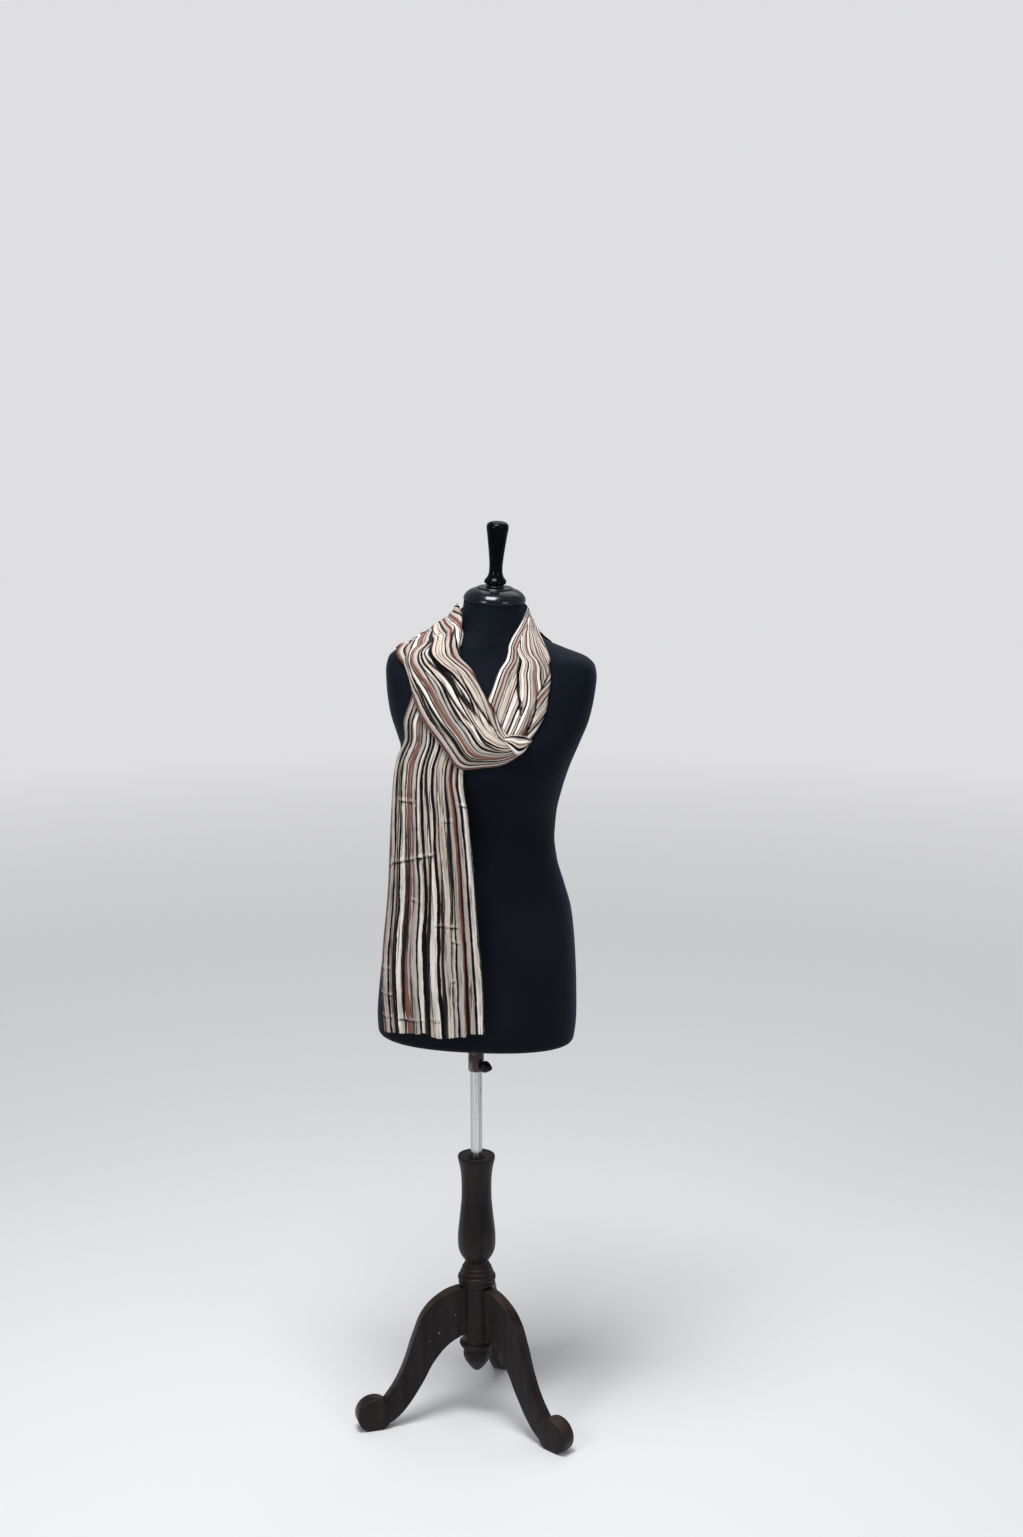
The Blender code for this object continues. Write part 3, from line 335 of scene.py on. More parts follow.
BACK_CREASES = [
    Crease(0.10, 0.50, 0.760, 0.006, 0.0012), Crease(0.55, 0.90, 0.830, -0.004, 0.0012),
    Crease(0.05, 0.30, 0.900, 0.004, 0.0010), Crease(0.40, 0.95, 0.957, 0.002, 0.0018),
]


# Curves and noise

def read_curve(places, values, at):
    """Read a smooth curve through a table's points, without overshoot."""
    places, values = np.asarray(places, float), np.asarray(values, float)
    widths = np.diff(places)
    rises = np.diff(values) / widths
    slopes = np.concatenate(([rises[0]], np.zeros(len(values) - 2), [rises[-1]]))
    same_way = rises[:-1] * rises[1:] > 0
    total = np.where(same_way, rises[:-1] + rises[1:], 1.0)
    slopes[1:-1] = np.where(same_way, 2 * rises[:-1] * rises[1:] / total, 0.0)
    at = np.clip(at, places[0], places[-1])
    low = np.clip(np.searchsorted(places, at, side="right") - 1, 0, len(places) - 2)
    part = (at - places[low]) / widths[low]
    square, cube = part ** 2, part ** 3
    return ((2 * cube - 3 * square + 1) * values[low]
            + (cube - 2 * square + part) * widths[low] * slopes[low]
            + (3 * square - 2 * cube) * values[low + 1]
            + (cube - square) * widths[low] * slopes[low + 1])


def uneven(number, salt):
    """A fixed number from 0 to 1 that looks random."""
    value = np.sin(np.asarray(number) * 12.9898 + salt * 78.233) * 43758.5453
    return value - np.floor(value)


def soft_noise(across, along, salt):
    """Smooth noise from -1 to 1 over two directions, with features of length 1."""
    left, low = np.floor(across), np.floor(along)
    right_part, up_part = across - left, along - low
    right_part = right_part * right_part * (3 - 2 * right_part)
    up_part = up_part * up_part * (3 - 2 * up_part)

    def corner(step_across, step_along):
        return uneven((left + step_across) * 1.7 + (low + step_along) * 31.3, salt)

    lower = corner(0, 0) * (1 - right_part) + corner(1, 0) * right_part
    upper = corner(0, 1) * (1 - right_part) + corner(1, 1) * right_part
    return 2 * (lower * (1 - up_part) + upper * up_part) - 1


def ramp(value, start, end):
    """0 before start, 1 after end, and a soft slope between them."""
    part = np.clip((value - start) / (end - start), 0, 1)
    return part * part * (3 - 2 * part)


def within(value, rise, fall):
    """1 between two soft slopes, each from its first place to its second, and 0 outside them."""
    return ramp(value, *rise) * (1 - ramp(value, *fall))


# The form's surface

def surface_points(sections, angles, heights):
    table = np.array(sections)
    half, ahead, behind, square = (read_curve(table[:, 0], table[:, column], heights)
                                   for column in range(1, 5))
    turns = np.radians(angles)
    across = np.sign(np.cos(turns)) * np.abs(np.cos(turns)) ** (2 / square)
    deep = np.sign(np.sin(turns)) * np.abs(np.sin(turns)) ** (2 / square)
    depth = np.where(deep < 0, ahead, behind)
    return np.stack((half * across, depth * deep, heights + 0 * across), axis=-1)


def unit(vectors):
    return vectors / np.maximum(np.linalg.norm(vectors, axis=-1, keepdims=True), 1e-12)


def surface_normals(sections, angles, heights):
    around = (surface_points(sections, angles + 1.0, heights)
              - surface_points(sections, angles - 1.0, heights))
    upward = (surface_points(sections, angles, heights + 0.003)
              - surface_points(sections, angles, heights - 0.003))
    return unit(np.cross(around, upward))


def front(across, height, sections=FORM_SECTIONS):
    """Angle and height of a place on the front, from its distance right of the middle."""
    table = np.array(sections)
    half = float(read_curve(table[:, 0], table[:, 1], height))
    square = float(read_curve(table[:, 0], table[:, 4], height))
    share = max(-1.0, min(1.0, across / half))
    return -math.degrees(math.acos(math.copysign(abs(share) ** (square / 2), share))), height


def back(across, height, sections):
    """Angle and height of a place on the back, from its distance right of the middle."""
    angle, height = front(across, height, sections)
    return -360 - angle, height


def front_again(across, height):
    """Angle and height of a place on the front, one turn further round the form."""
    angle, height = front(across, height)
    return angle - 360, height


# Pieces

def add_object(name, data):
    item = bpy.data.objects.new(name, data)
    bpy.context.scene.collection.objects.link(item)
    return item


def finish_piece(name, shape, material, body, nodes, place, sharp=40):
    """Make an object of a bmesh, with its place in its mesh, hung on its body, and hide the solids it
    replaces.
    """
    mesh = bpy.data.meshes.new(name)
    shape.to_mesh(mesh)
    shape.free()
    mesh.transform(place)
    mesh.shade_smooth()
    mesh.set_sharp_from_angle(angle=math.radians(sharp))
    mesh.materials.append(material)
    piece = add_object(name, mesh)
    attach(piece, body)
    if nodes:
        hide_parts(*nodes)
    return piece


def turned_shape(runs, sides=96):
    """Spin a profile of smooth runs round the Z axis."""
    shape = bmesh.new()
    profile = []
    for index, turns in enumerate(runs):
        run = [runs[index - 1][-1], *turns] if index else turns
        lengths = np.cumsum([0] + [math.dist(a, b) for a, b in zip(run, run[1:])])
        count = 1 if len(run) == 2 else PROFILE_STEPS * (len(run) - 1)
        places = np.linspace(0, lengths[-1], count + 1)
        radii = read_curve(lengths, [turn.radius for turn in run], places)
        heights = read_curve(lengths, [turn.height for turn in run], places)
        profile += [(radius, 0, height) for radius, height in zip(radii, heights)]
    verts = [shape.verts.new(point) for point in profile]
    edges = [shape.edges.new(pair) for pair in zip(verts, verts[1:])]
    bmesh.ops.spin(shape, geom=verts + edges, cent=(0, 0, 0), axis=(0, 0, 1), angle=math.tau,
                   steps=sides, use_merge=True, use_duplicate=False)
    bmesh.ops.remove_doubles(shape, verts=shape.verts, dist=0.000005)
    bmesh.ops.recalc_face_normals(shape, faces=shape.faces)
    return shape


def rod_runs(radius, top, foot, bevel):
    """Profile of a plain rod with its top edge bevelled."""
    return [[Turn(0.0, top), Turn(radius - bevel, top)],
            [Turn(radius, top - bevel)], [Turn(radius, foot)], [Turn(0.0, foot)]]


def carve_flutes(shape, low, high):
    """Cut shallow leaf-shaped flutes round a turned piece, between two heights."""
    for vert in shape.verts:
        share = (vert.co.z - low) / (high - low)
        if 0 < share < 1:
            turn = abs(math.sin(FLUTES / 2 * math.atan2(vert.co.y, vert.co.x)))
            cut = FLUTE_DEPTH * math.sin(math.pi * share) * max(0.0, 1 - turn - 0.7 * share) ** 0.7
            radius = math.hypot(vert.co.x, vert.co.y)
            vert.co.x *= 1 - cut / radius
            vert.co.y *= 1 - cut / radius


# Shader building

def new_group(name, inputs, outputs):
    """Empty node group with named sockets, its input and output nodes."""
    group = bpy.data.node_groups.new(name, "ShaderNodeTree")
    for label, kind, value in inputs:
        socket = group.interface.new_socket(name=label, in_out="INPUT", socket_type="NodeSocket" + kind)
        if value is not None:
            socket.default_value = value
    for label, kind in outputs:
        group.interface.new_socket(name=label, in_out="OUTPUT", socket_type="NodeSocket" + kind)
    return group, group.nodes.new("NodeGroupInput"), group.nodes.new("NodeGroupOutput")


class Graph:
    """Short calls for a node tree's nodes and links."""

    def __init__(self, tree):
        self.tree = tree

    def add(self, kind, **settings):
        node = self.tree.nodes.new("ShaderNode" + kind)
        for name, value in settings.items():
            setattr(node, name, value)
        return node

    def join(self, source, target):
        self.tree.links.new(source, target)

    def feed(self, target, value):
        if hasattr(value, "is_output"):
            self.join(value, target)
        else:
            target.default_value = value

    def math(self, operation, first, second=0.0, clamp=False):
        node = self.add("Math", operation=operation, use_clamp=clamp)
        self.feed(node.inputs[0], first)
        self.feed(node.inputs[1], second)
        return node.outputs[0]

    def mix(self, share, first, second):
        node = self.add("Mix", data_type="RGBA")
        self.feed(node.inputs["Factor"], share)
        self.feed(node.inputs[6], first)
        self.feed(node.inputs[7], second)
        return node.outputs[2]

    def object_place(self):
        return self.add("TexCoord").outputs["Object"]

    def noise(self, vector, scale, detail=4.0, roughness=0.55):
        node = self.add("TexNoise")
        self.feed(node.inputs["Vector"], vector)
        node.inputs["Scale"].default_value = scale
        node.inputs["Detail"].default_value = detail
        node.inputs["Roughness"].default_value = roughness
        return node.outputs["Fac"]

    def stretch(self, vector, scale, rotation=(0, 0, 0)):
        node = self.add("Mapping")
        self.feed(node.inputs["Vector"], vector)
        node.inputs["Scale"].default_value = scale
        node.inputs["Rotation"].default_value = rotation
        return node.outputs["Vector"]

    def streaks(self, vector, scale, detail, roughness=0.55):
        return self.noise(self.stretch(vector, scale), 1.0, detail, roughness)

    def remap(self, value, low, high, to_low=0.0, to_high=1.0):
        node = self.add("MapRange", clamp=True)
        self.feed(node.inputs["Value"], value)
        for label, number in (("From Min", low), ("From Max", high), ("To Min", to_low), ("To Max", to_high)):
            self.feed(node.inputs[label], number)
        return node.outputs["Result"]

    def group(self, group, **values):
        node = self.add("Group", node_tree=group)
        for name, value in values.items():
            self.feed(node.inputs[name.replace("_", " ")], value)
        return node


def new_material(name, colour, **sockets):
    """Material with a Principled shader, and a graph to draw on."""
    material = bpy.data.materials.new(name)
    material.use_nodes = True
    shader = material.node_tree.nodes["Principled BSDF"]
    shader.inputs["Base Color"].default_value = (*colour, 1)
    for label, value in sockets.items():
        shader.inputs[label.replace("_", " ")].default_value = value
    return material, Graph(material.node_tree), shader


def add_bump(graph, shader, height, distance, strength):
    bump = graph.add("Bump")
    bump.inputs["Distance"].default_value = distance
    bump.inputs["Strength"].default_value = strength
    graph.feed(bump.inputs["Height"], height)
    graph.join(bump.outputs["Normal"], shader.inputs["Normal"])


def grain_group():
    """Long wood grain along Z, with pores, as a value from 0 to 1."""
    group, given, result = new_group("Wood grain", [("Vector", "Vector", None), ("Scale", "Float", 1.0)],
                                     [("Grain", "Float"), ("Pores", "Float")])
    graph = Graph(group)
    scaled = graph.add("VectorMath", operation="SCALE")
    graph.join(given.outputs["Vector"], scaled.inputs[0])
    graph.join(given.outputs["Scale"], scaled.inputs["Scale"])
    long_way = graph.stretch(scaled.outputs[0], (60, 60, 5))
    fine_way = graph.stretch(scaled.outputs[0], (420, 420, 24))
    graph.join(graph.noise(long_way, 1.0, 6.0, 0.6), result.inputs["Grain"])
    pores = graph.noise(fine_way, 1.0, 2.0)
    graph.join(graph.remap(pores, 0.52, 0.70), result.inputs["Pores"])
    return group


def wear_and_top_light_group():
    """Masks of the convex edges, where a finish is rubbed away, of the faces turned up, for a painted
    highlight, and of chips.
    """
    group, given, result = new_group("Edge wear and top light", [("Vector", "Vector", None), ("Amount", "Float", 1.0)],
                                     [("Wear", "Float"), ("Top", "Float"), ("Chips", "Float")])
    graph = Graph(group)
    geometry = graph.add("NewGeometry")
    edge = graph.remap(geometry.outputs["Pointiness"], 0.52, 0.60)
    patches = graph.remap(graph.noise(given.outputs["Vector"], 38.0, 4.0), 0.36, 0.62)
    graph.join(graph.math("MULTIPLY", graph.math("MULTIPLY", edge, patches), given.outputs["Amount"], True),
               result.inputs["Wear"])
    apart = graph.add("SeparateXYZ")
    graph.join(geometry.outputs["Normal"], apart.inputs[0])
    # Faces turned up, in broad patches: the mask of a painted highlight
    upward = graph.remap(apart.outputs["Z"], 0.25, 0.70)
    broad = graph.remap(graph.noise(given.outputs["Vector"], 16.0, 4.0), 0.40, 0.62)
    graph.join(graph.math("MULTIPLY", upward, broad), result.inputs["Top"])
    spots = graph.add("TexVoronoi")
    spots.inputs["Scale"].default_value = 26.0
    graph.join(given.outputs["Vector"], spots.inputs["Vector"])
    graph.join(graph.remap(spots.outputs["Distance"], 0.035, 0.055, 1.0, 0.0), result.inputs["Chips"])
    return group


def stripes_group():
    """Colour of the woven stripes at a place on the cloth, in metres across and along it, with darker sheer
    streaks and painted shadow streaks.
    """
    group, given, result = new_group("Chiffon stripes", [("Cloth", "Vector", None)],
                                     [("Colour", "Color"), ("Dark", "Float")])
    graph = Graph(group)
    cloth = given.outputs["Cloth"]
    apart = graph.add("SeparateXYZ")
    graph.join(cloth, apart.inputs[0])
    waver = graph.streaks(cloth, (110, 22, 1), 3.0)
    waver = graph.math("MULTIPLY", graph.math("SUBTRACT", waver, 0.5), 0.0045)
    ragged = graph.streaks(cloth, (330, 130, 1), 2.0)
    ragged = graph.math("MULTIPLY", graph.math("SUBTRACT", ragged, 0.5), 0.0016)
    place = graph.math("ADD", apart.outputs["X"], graph.math("ADD", waver, ragged))
    share = graph.math("FRACT", graph.math("DIVIDE", place, CLOTH_WIDTH))
    colours = graph.add("ValToRGB")
    colours.color_ramp.interpolation = "CONSTANT"
    darks = graph.add("ValToRGB")
    darks.color_ramp.interpolation = "CONSTANT"
    start = 0.0
    for index, stripe in enumerate(STRIPES):
        for ramp_node, colour in ((colours, CLOTH_COLOURS[stripe.colour]),
                                  (darks, (float(stripe.colour == "black"),) * 3)):
            stops = ramp_node.color_ramp.elements
            stop = stops[index] if index < 2 else stops.new(start)
            stop.position = start
            stop.color = (*colour, 1)
        start += stripe.width / 1000 / CLOTH_WIDTH
    for ramp_node in (colours, darks):
        graph.join(share, ramp_node.inputs["Fac"])
    thin = graph.streaks(cloth, (160, 9, 1), 4.0)
    sheer_and_shadow_streaked = graph.mix(graph.remap(thin, 0.42, 0.72, 0.0, 0.6), colours.outputs["Color"],
                       (0.15, 0.12, 0.10, 1))
    # Thin near-black streaks along the cloth: painted shadow, standing in for the shade in narrow slits
    # between folds
    drawn = graph.streaks(cloth, (270, 11, 1), 2.0)
    sheer_and_shadow_streaked = graph.mix(graph.remap(drawn, 0.60, 0.66, 0.0, 0.85), sheer_and_shadow_streaked, (0.010, 0.009, 0.010, 1))
    kept = graph.mix(darks.outputs["Color"], sheer_and_shadow_streaked, colours.outputs["Color"])
    graph.join(kept, result.inputs["Colour"])
    graph.join(darks.outputs["Color"], result.inputs["Dark"])
    return group


GRAIN = grain_group()
WEAR_AND_TOP_LIGHT = wear_and_top_light_group()
STRIPES_OF_CLOTH = stripes_group()


def wood_material(name, grain_scale=1.0, rubbing=0.8):
    material, graph, shader = new_material(name, (0.012, 0.010, 0.010), Roughness=0.5,
                                           Specular_IOR_Level=0.20)
    place = graph.object_place()
    grain = graph.group(GRAIN, Vector=place, Scale=grain_scale)
    wear = graph.group(WEAR_AND_TOP_LIGHT, Vector=place, Amount=rubbing)
    streaks = graph.mix(graph.remap(grain.outputs["Grain"], 0.36, 0.66), (0.0015, 0.0012, 0.0013, 1),
                        (0.0200, 0.0125, 0.0115, 1))
    dark = graph.remap(graph.streaks(place, (26, 26, 8), 2.0), 0.44, 0.60, 0.0, 0.6)
    stained = graph.mix(dark, streaks, (0.0020, 0.0016, 0.0018, 1))
    worn = graph.mix(wear.outputs["Wear"], stained, (0.062, 0.028, 0.021, 1))
    # Painted highlight: faces turned up are made a lighter reddish brown, in patches
    worn_and_top_lit = graph.mix(graph.math("MULTIPLY", wear.outputs["Top"], 0.65), worn, (0.046, 0.024, 0.019, 1))
    graph.join(graph.mix(wear.outputs["Chips"], worn_and_top_lit, (0.20, 0.16, 0.13, 1)), shader.inputs["Base Color"])
    graph.join(graph.remap(grain.outputs["Grain"], 0.3, 0.7, 0.32, 0.52), shader.inputs["Roughness"])
    add_bump(graph, shader, grain.outputs["Pores"], -0.0002, 0.6)
    return material


def lacquer_material(name, shine, depth):
    """Gloss black lacquer: shine sets how much it mirrors, depth how far from black it is."""
    material, graph, shader = new_material(name, (0.004, 0.0045, 0.006), Roughness=0.2,
                                           Specular_IOR_Level=shine, Specular_Tint=(0.80, 0.90, 1.0, 1))
    place = graph.object_place()
    dust = graph.remap(graph.noise(place, 60.0, 5.0), 0.45, 0.75, 0.15, 0.24)
    graph.join(dust, shader.inputs["Roughness"])
    tint = graph.mix(graph.remap(graph.noise(place, 14.0), 0.4, 0.7),
                     (0.0020 * depth, 0.0024 * depth, 0.0036 * depth, 1),
                     (0.0050 * depth, 0.0060 * depth, 0.0090 * depth, 1))
    graph.join(tint, shader.inputs["Base Color"])
    return material


def steel_material():
    material, graph, shader = new_material("bright_steel", (0.80, 0.81, 0.82), Metallic=1.0, Roughness=0.22)
    place = graph.object_place()
    lines = graph.streaks(place, (420, 420, 3), 3.0)
    broad = graph.streaks(place, (110, 110, 2), 2.0)
    specks = graph.remap(graph.streaks(place, (240, 240, 90), 3.0), 0.64, 0.72)
    colour = graph.mix(graph.remap(lines, 0.35, 0.65), (0.42, 0.42, 0.43, 1), (0.86, 0.86, 0.87, 1))
    colour = graph.mix(graph.remap(broad, 0.48, 0.62, 0.0, 0.7), colour, (0.38, 0.38, 0.39, 1))
    graph.join(graph.mix(specks, colour, (0.12, 0.12, 0.12, 1)), shader.inputs["Base Color"])
    graph.join(graph.remap(lines, 0.3, 0.7, 0.16, 0.34), shader.inputs["Roughness"])
    return material


def bronze_material():
    material, graph, shader = new_material("bronzed_metal", (0.16, 0.12, 0.10), Metallic=0.55, Roughness=0.4)
    place = graph.object_place()
    slant = graph.stretch(place, (70, 70, 22), (0.5, 0.3, 0))
    mottle = graph.remap(graph.noise(slant, 1.0, 4.0, 0.6), 0.44, 0.60)
    colour = graph.mix(mottle, (0.045, 0.033, 0.028, 1), (0.30, 0.235, 0.195, 1))
    graph.join(colour, shader.inputs["Base Color"])
    graph.join(graph.remap(mottle, 0, 1, 0.32, 0.55), shader.inputs["Roughness"])
    add_bump(graph, shader, mottle, 0.0002, 0.5)
    return material


def knob_material():
    material, graph, shader = new_material("black_plastic", (0.003, 0.003, 0.004), Roughness=0.38,
                                           Specular_IOR_Level=0.2)
    place = graph.object_place()
    graph.join(graph.remap(graph.noise(place, 400.0, 3.0), 0.3, 0.7, 0.28, 0.5), shader.inputs["Roughness"])
    return material


def jersey_material():
    material, graph, shader = new_material("black_jersey", (0.010, 0.012, 0.018), Roughness=0.62,
                                           Sheen_Weight=0.11, Sheen_Roughness=0.35,
                                           Sheen_Tint=(0.40, 0.55, 0.90, 1), Specular_IOR_Level=0.08,
                                           Specular_Tint=(0.60, 0.75, 1.0, 1))
    place = graph.object_place()
    ribs = graph.add("TexWave", wave_type="BANDS", bands_direction="DIAGONAL")
    ribs.inputs["Scale"].default_value = 700.0
    graph.join(place, ribs.inputs["Vector"])
    lint = graph.noise(place, 900.0, 4.0)
    cloud = graph.noise(place, 6.0, 4.0)
    base = graph.mix(graph.remap(cloud, 0.35, 0.7), (0.0032, 0.0040, 0.0062, 1), (0.0054, 0.0064, 0.0092, 1))
    graph.join(graph.mix(graph.remap(lint, 0.45, 0.8), base, (0.005, 0.006, 0.010, 1)),
               shader.inputs["Base Color"])
    add_bump(graph, shader, graph.math("ADD", ribs.outputs["Fac"], lint), 0.0002, 0.5)
    return material


def chiffon_material():
    """Striped chiffon, read from the cloth's own map, with painted shade where its folds go in and a painted
    highlight on the ridges of its creases.
    """
    material, graph, shader = new_material("striped_chiffon", (0.6, 0.5, 0.4), Roughness=0.70,
                                           Specular_IOR_Level=0.08)
    cloth = graph.add("UVMap", uv_map="cloth").outputs["UV"]
    stripes = graph.group(STRIPES_OF_CLOTH, Cloth=cloth)
    shade = graph.add("Attribute", attribute_type="GEOMETRY", attribute_name="shade").outputs["Fac"]
    # The shade attribute paints shade toward near black above 0, in hollows, valleys, laps and crease
    # troughs, and paints a highlight toward cream below 0, on crease ridges
    depth = graph.remap(shade, 0.0, 0.85, 0.0, 0.97)
    fold_shaded = graph.mix(depth, stripes.outputs["Colour"], (0.004, 0.004, 0.004, 1))
    ridge_highlight = graph.remap(shade, 0.0, -0.6, 0.0, 0.18)
    graph.join(graph.mix(ridge_highlight, fold_shaded, (0.80, 0.74, 0.67, 1)), shader.inputs["Base Color"])
    crinkle = graph.streaks(cloth, (420, 60, 1), 5.0, 0.65)
    weave = graph.streaks(cloth, (1800, 1800, 1), 2.0)
    height = graph.math("ADD", crinkle, graph.math("MULTIPLY", weave, 0.15))
    add_bump(graph, shader, height, 0.0006, 0.5)
    return material


CHIFFON = chiffon_material()


# Stand

def leg_board(name):
    """Flat S-shaped board with rounded edges, from a curve through its two edges."""
    outline = bpy.data.curves.new(name, "CURVE")
    outline.dimensions = "2D"
    outline.fill_mode = "BOTH"
    outline.extrude = LEG_THICKNESS / 2 - LEG_ROUNDING
    outline.bevel_depth = LEG_ROUNDING
    outline.bevel_resolution = 3
    outline.offset = -LEG_ROUNDING
    outline.resolution_u = 10
    spline = outline.splines.new("BEZIER")
    points = LEG_TOP_EDGE + LEG_LOW_EDGE
    corners = (0, len(LEG_TOP_EDGE) - 1, len(LEG_TOP_EDGE), len(points) - 1)
    spline.bezier_points.add(len(points) - 1)
    for index, place in enumerate(points):
        point = spline.bezier_points[index]
        point.co = (*place, 0)
        handle = "VECTOR" if index in corners else "AUTO"
        point.handle_left_type = handle
        point.handle_right_type = handle
    spline.use_cyclic_u = True
    drawn = add_object(name, outline)
    mesh = bpy.data.meshes.new_from_object(drawn.evaluated_get(bpy.context.evaluated_depsgraph_get()))
    bpy.data.objects.remove(drawn, do_unlink=True)
    mesh.transform(Matrix.Rotation(math.radians(90), 4, "X"))
    shape = bmesh.new()
    shape.from_mesh(mesh)
    bpy.data.meshes.remove(mesh)
    bmesh.ops.remove_doubles(shape, verts=shape.verts, dist=0.00002)
    bmesh.ops.recalc_face_normals(shape, faces=shape.faces)
    return shape


def foot_disc(shape):
    """Add the round disc across a leg's end, cut flat where it stands."""
    made = bmesh.ops.create_cone(shape, cap_ends=True, segments=96, radius1=FOOT_RADIUS,
                                 radius2=FOOT_RADIUS, depth=FOOT_THICKNESS)
    verts = made["verts"]
    place = Matrix.Translation((FOOT_DISTANCE, 0, FOOT_HEIGHT)) @ Matrix.Rotation(math.radians(90), 4, "X")
    bmesh.ops.transform(shape, matrix=place, verts=verts)
    faces = {face for vert in verts for face in vert.link_faces}
    edges = {edge for vert in verts for edge in vert.link_edges}
    cut = bmesh.ops.bisect_plane(shape, geom=[*verts, *edges, *faces], plane_co=(0, 0, 0),
                                 plane_no=(0, 0, 1), clear_inner=True)
    rim = [item for item in cut["geom_cut"] if isinstance(item, bmesh.types.BMEdge)]
    bmesh.ops.contextual_create(shape, geom=rim)
    around = [edge for edge in shape.edges if len(edge.link_faces) == 2
              and edge.calc_face_angle(0) > 0.7 and edge.verts[0].co.x > FOOT_DISTANCE - FOOT_RADIUS - 0.001
              and abs(abs(edge.verts[0].co.y) - FOOT_THICKNESS / 2) < 0.0001]
    bmesh.ops.bevel(shape, geom=around, offset=FOOT_ROUNDING, offset_type="OFFSET", segments=3,
                    profile=0.5, affect="EDGES", material=-1)


def build_stand():
    hub_runs = rod_runs(HUB_RADIUS, HUB_TOP, HUB_FOOT, HUB_BEVEL)
    for part in (TurnedWood("column", COLUMN_RUNS, 1.0, 0.8, (0.3096, 0.3330)),
                 TurnedWood("hub_post", hub_runs, 1.0, 0.1, None),
                 TurnedWood("drop_finial", DROP_FINIAL_RUNS, 1.3, 0.5, (0.1180, 0.1372))):
        shape = turned_shape(part.runs)
        if part.flutes:
            carve_flutes(shape, *part.flutes)
        wood = wood_material(part.node + "_wood", part.grain_scale, part.rubbing)
        finish_piece("turned_" + part.node, shape, wood, "stand", [part.node], STAND_PLACE)
    for side, angle in LEG_ANGLES.items():
        shape = leg_board("board_" + side)
        foot_disc(shape)
        place = STAND_PLACE @ Matrix.Rotation(math.radians(angle - 90), 4, "Z")
        finish_piece("carved_leg_" + side, shape, wood_material("leg_wood_" + side), "stand",
                     ["leg_" + side], place)
    pole = turned_shape(rod_runs(POLE_RADIUS, POLE_TOP, POLE_FOOT, POLE_BEVEL), 64)
    finish_piece("steel_pole", pole, steel_material(), "pole", ["pole"], STAND_PLACE)
    finish_piece("bronzed_collar", turned_shape(COLLAR_RUNS, 64), bronze_material(), "form",
                 ["collar"], STAND_PLACE)
    outward = STAND_PLACE @ Matrix.Translation((0, 0, KNOB_HEIGHT))
    outward = outward @ Matrix.Rotation(math.radians(KNOB_ANGLE - 90), 4, "Z")
    outward = outward @ Matrix.Rotation(math.radians(90), 4, "Y")
    finish_piece("pointed_knob", turned_shape(KNOB_RUNS, 48), knob_material(), "knob",
                 ["clamp_knob"], outward)


# Dress form

def grid_shape(points, cloth=None, shade=None):
    """Bmesh of a grid of points, from create_grid, with a map and a shade of the cloth if given."""
    rows, columns = points.shape[:2]
    shape = bmesh.new()
    if cloth is not None:
        cloth_layer = shape.loops.layers.uv.new("cloth")
        shade_layer = shape.verts.layers.float.new("shade")
    bmesh.ops.create_grid(shape, x_segments=columns - 1, y_segments=rows - 1, size=0.5)
    for vert in shape.verts:
        column = round((vert.co.x + 0.5) * (columns - 1))
        row = round((vert.co.y + 0.5) * (rows - 1))
        vert.index = row * columns + column
        vert.co = points[row, column]
    if cloth is not None:
        for vert in shape.verts:
            row, column = divmod(vert.index, columns)
            vert[shade_layer] = shade[row, column]
            for loop in vert.link_loops:
                loop[cloth_layer].uv = cloth[row, column]
    return shape


def build_form():
    """Padded form with its jersey, neck cap and finial; returns the jersey form's piece."""
    angles = np.linspace(0, -360, 181)
    heights = np.unique(np.concatenate([np.linspace(0, HEM_CURVE, 9), np.linspace(HEM_CURVE, NECK_FOOT, 130),
                                        np.linspace(NECK_FOOT, FORM_SECTIONS[-1].height, 50)]))
    points = surface_points(FORM_SECTIONS, angles[None, :], heights[:, None] + 0 * angles[None, :])
    shape = grid_shape(points[::-1])
    bmesh.ops.remove_doubles(shape, verts=shape.verts, dist=0.000001)
    top = [edge for edge in shape.edges if edge.is_boundary and edge.verts[0].co.z > 0.5]
    bmesh.ops.contextual_create(shape, geom=top)
    rim = [edge for edge in shape.edges if edge.is_boundary]
    hole = bmesh.ops.create_circle(shape, cap_ends=False, segments=len(rim), radius=FORM_BORE)
    bmesh.ops.translate(shape, vec=(0, 0, 0.0002), verts=hole["verts"])
    ring = list({edge for vert in hole["verts"] for edge in vert.link_edges})
    bmesh.ops.bridge_loops(shape, edges=rim + ring)
    bmesh.ops.recalc_face_normals(shape, faces=shape.faces)
    form = finish_piece("jersey_form", shape, jersey_material(), "form", ["dress_form"],
                        FORM_PLACE)
    finish_piece("lacquered_cap", turned_shape(CAP_RUNS, 128),
                 lacquer_material("cap_lacquer", shine=0.42, depth=0.8), "form",
                 ["neck_cap"], FORM_PLACE)
    finish_piece("lacquered_finial", turned_shape(NECK_FINIAL_RUNS, 128),
                 lacquer_material("finial_lacquer", shine=0.10, depth=0.25), "form",
                 ["neck_finial"], FORM_PLACE)
    return form


# Stole

def tree_of(points):
    """Searchable surface of a grid of points."""
    rows, columns = points.shape[:2]
    index = np.arange(rows * columns).reshape(rows, columns)
    cells = np.stack((index[:-1, :-1], index[1:, :-1], index[1:, 1:], index[:-1, 1:]), axis=-1)
    return BVHTree.FromPolygons(points.reshape(-1, 3).tolist(), cells.reshape(-1, 4).tolist())


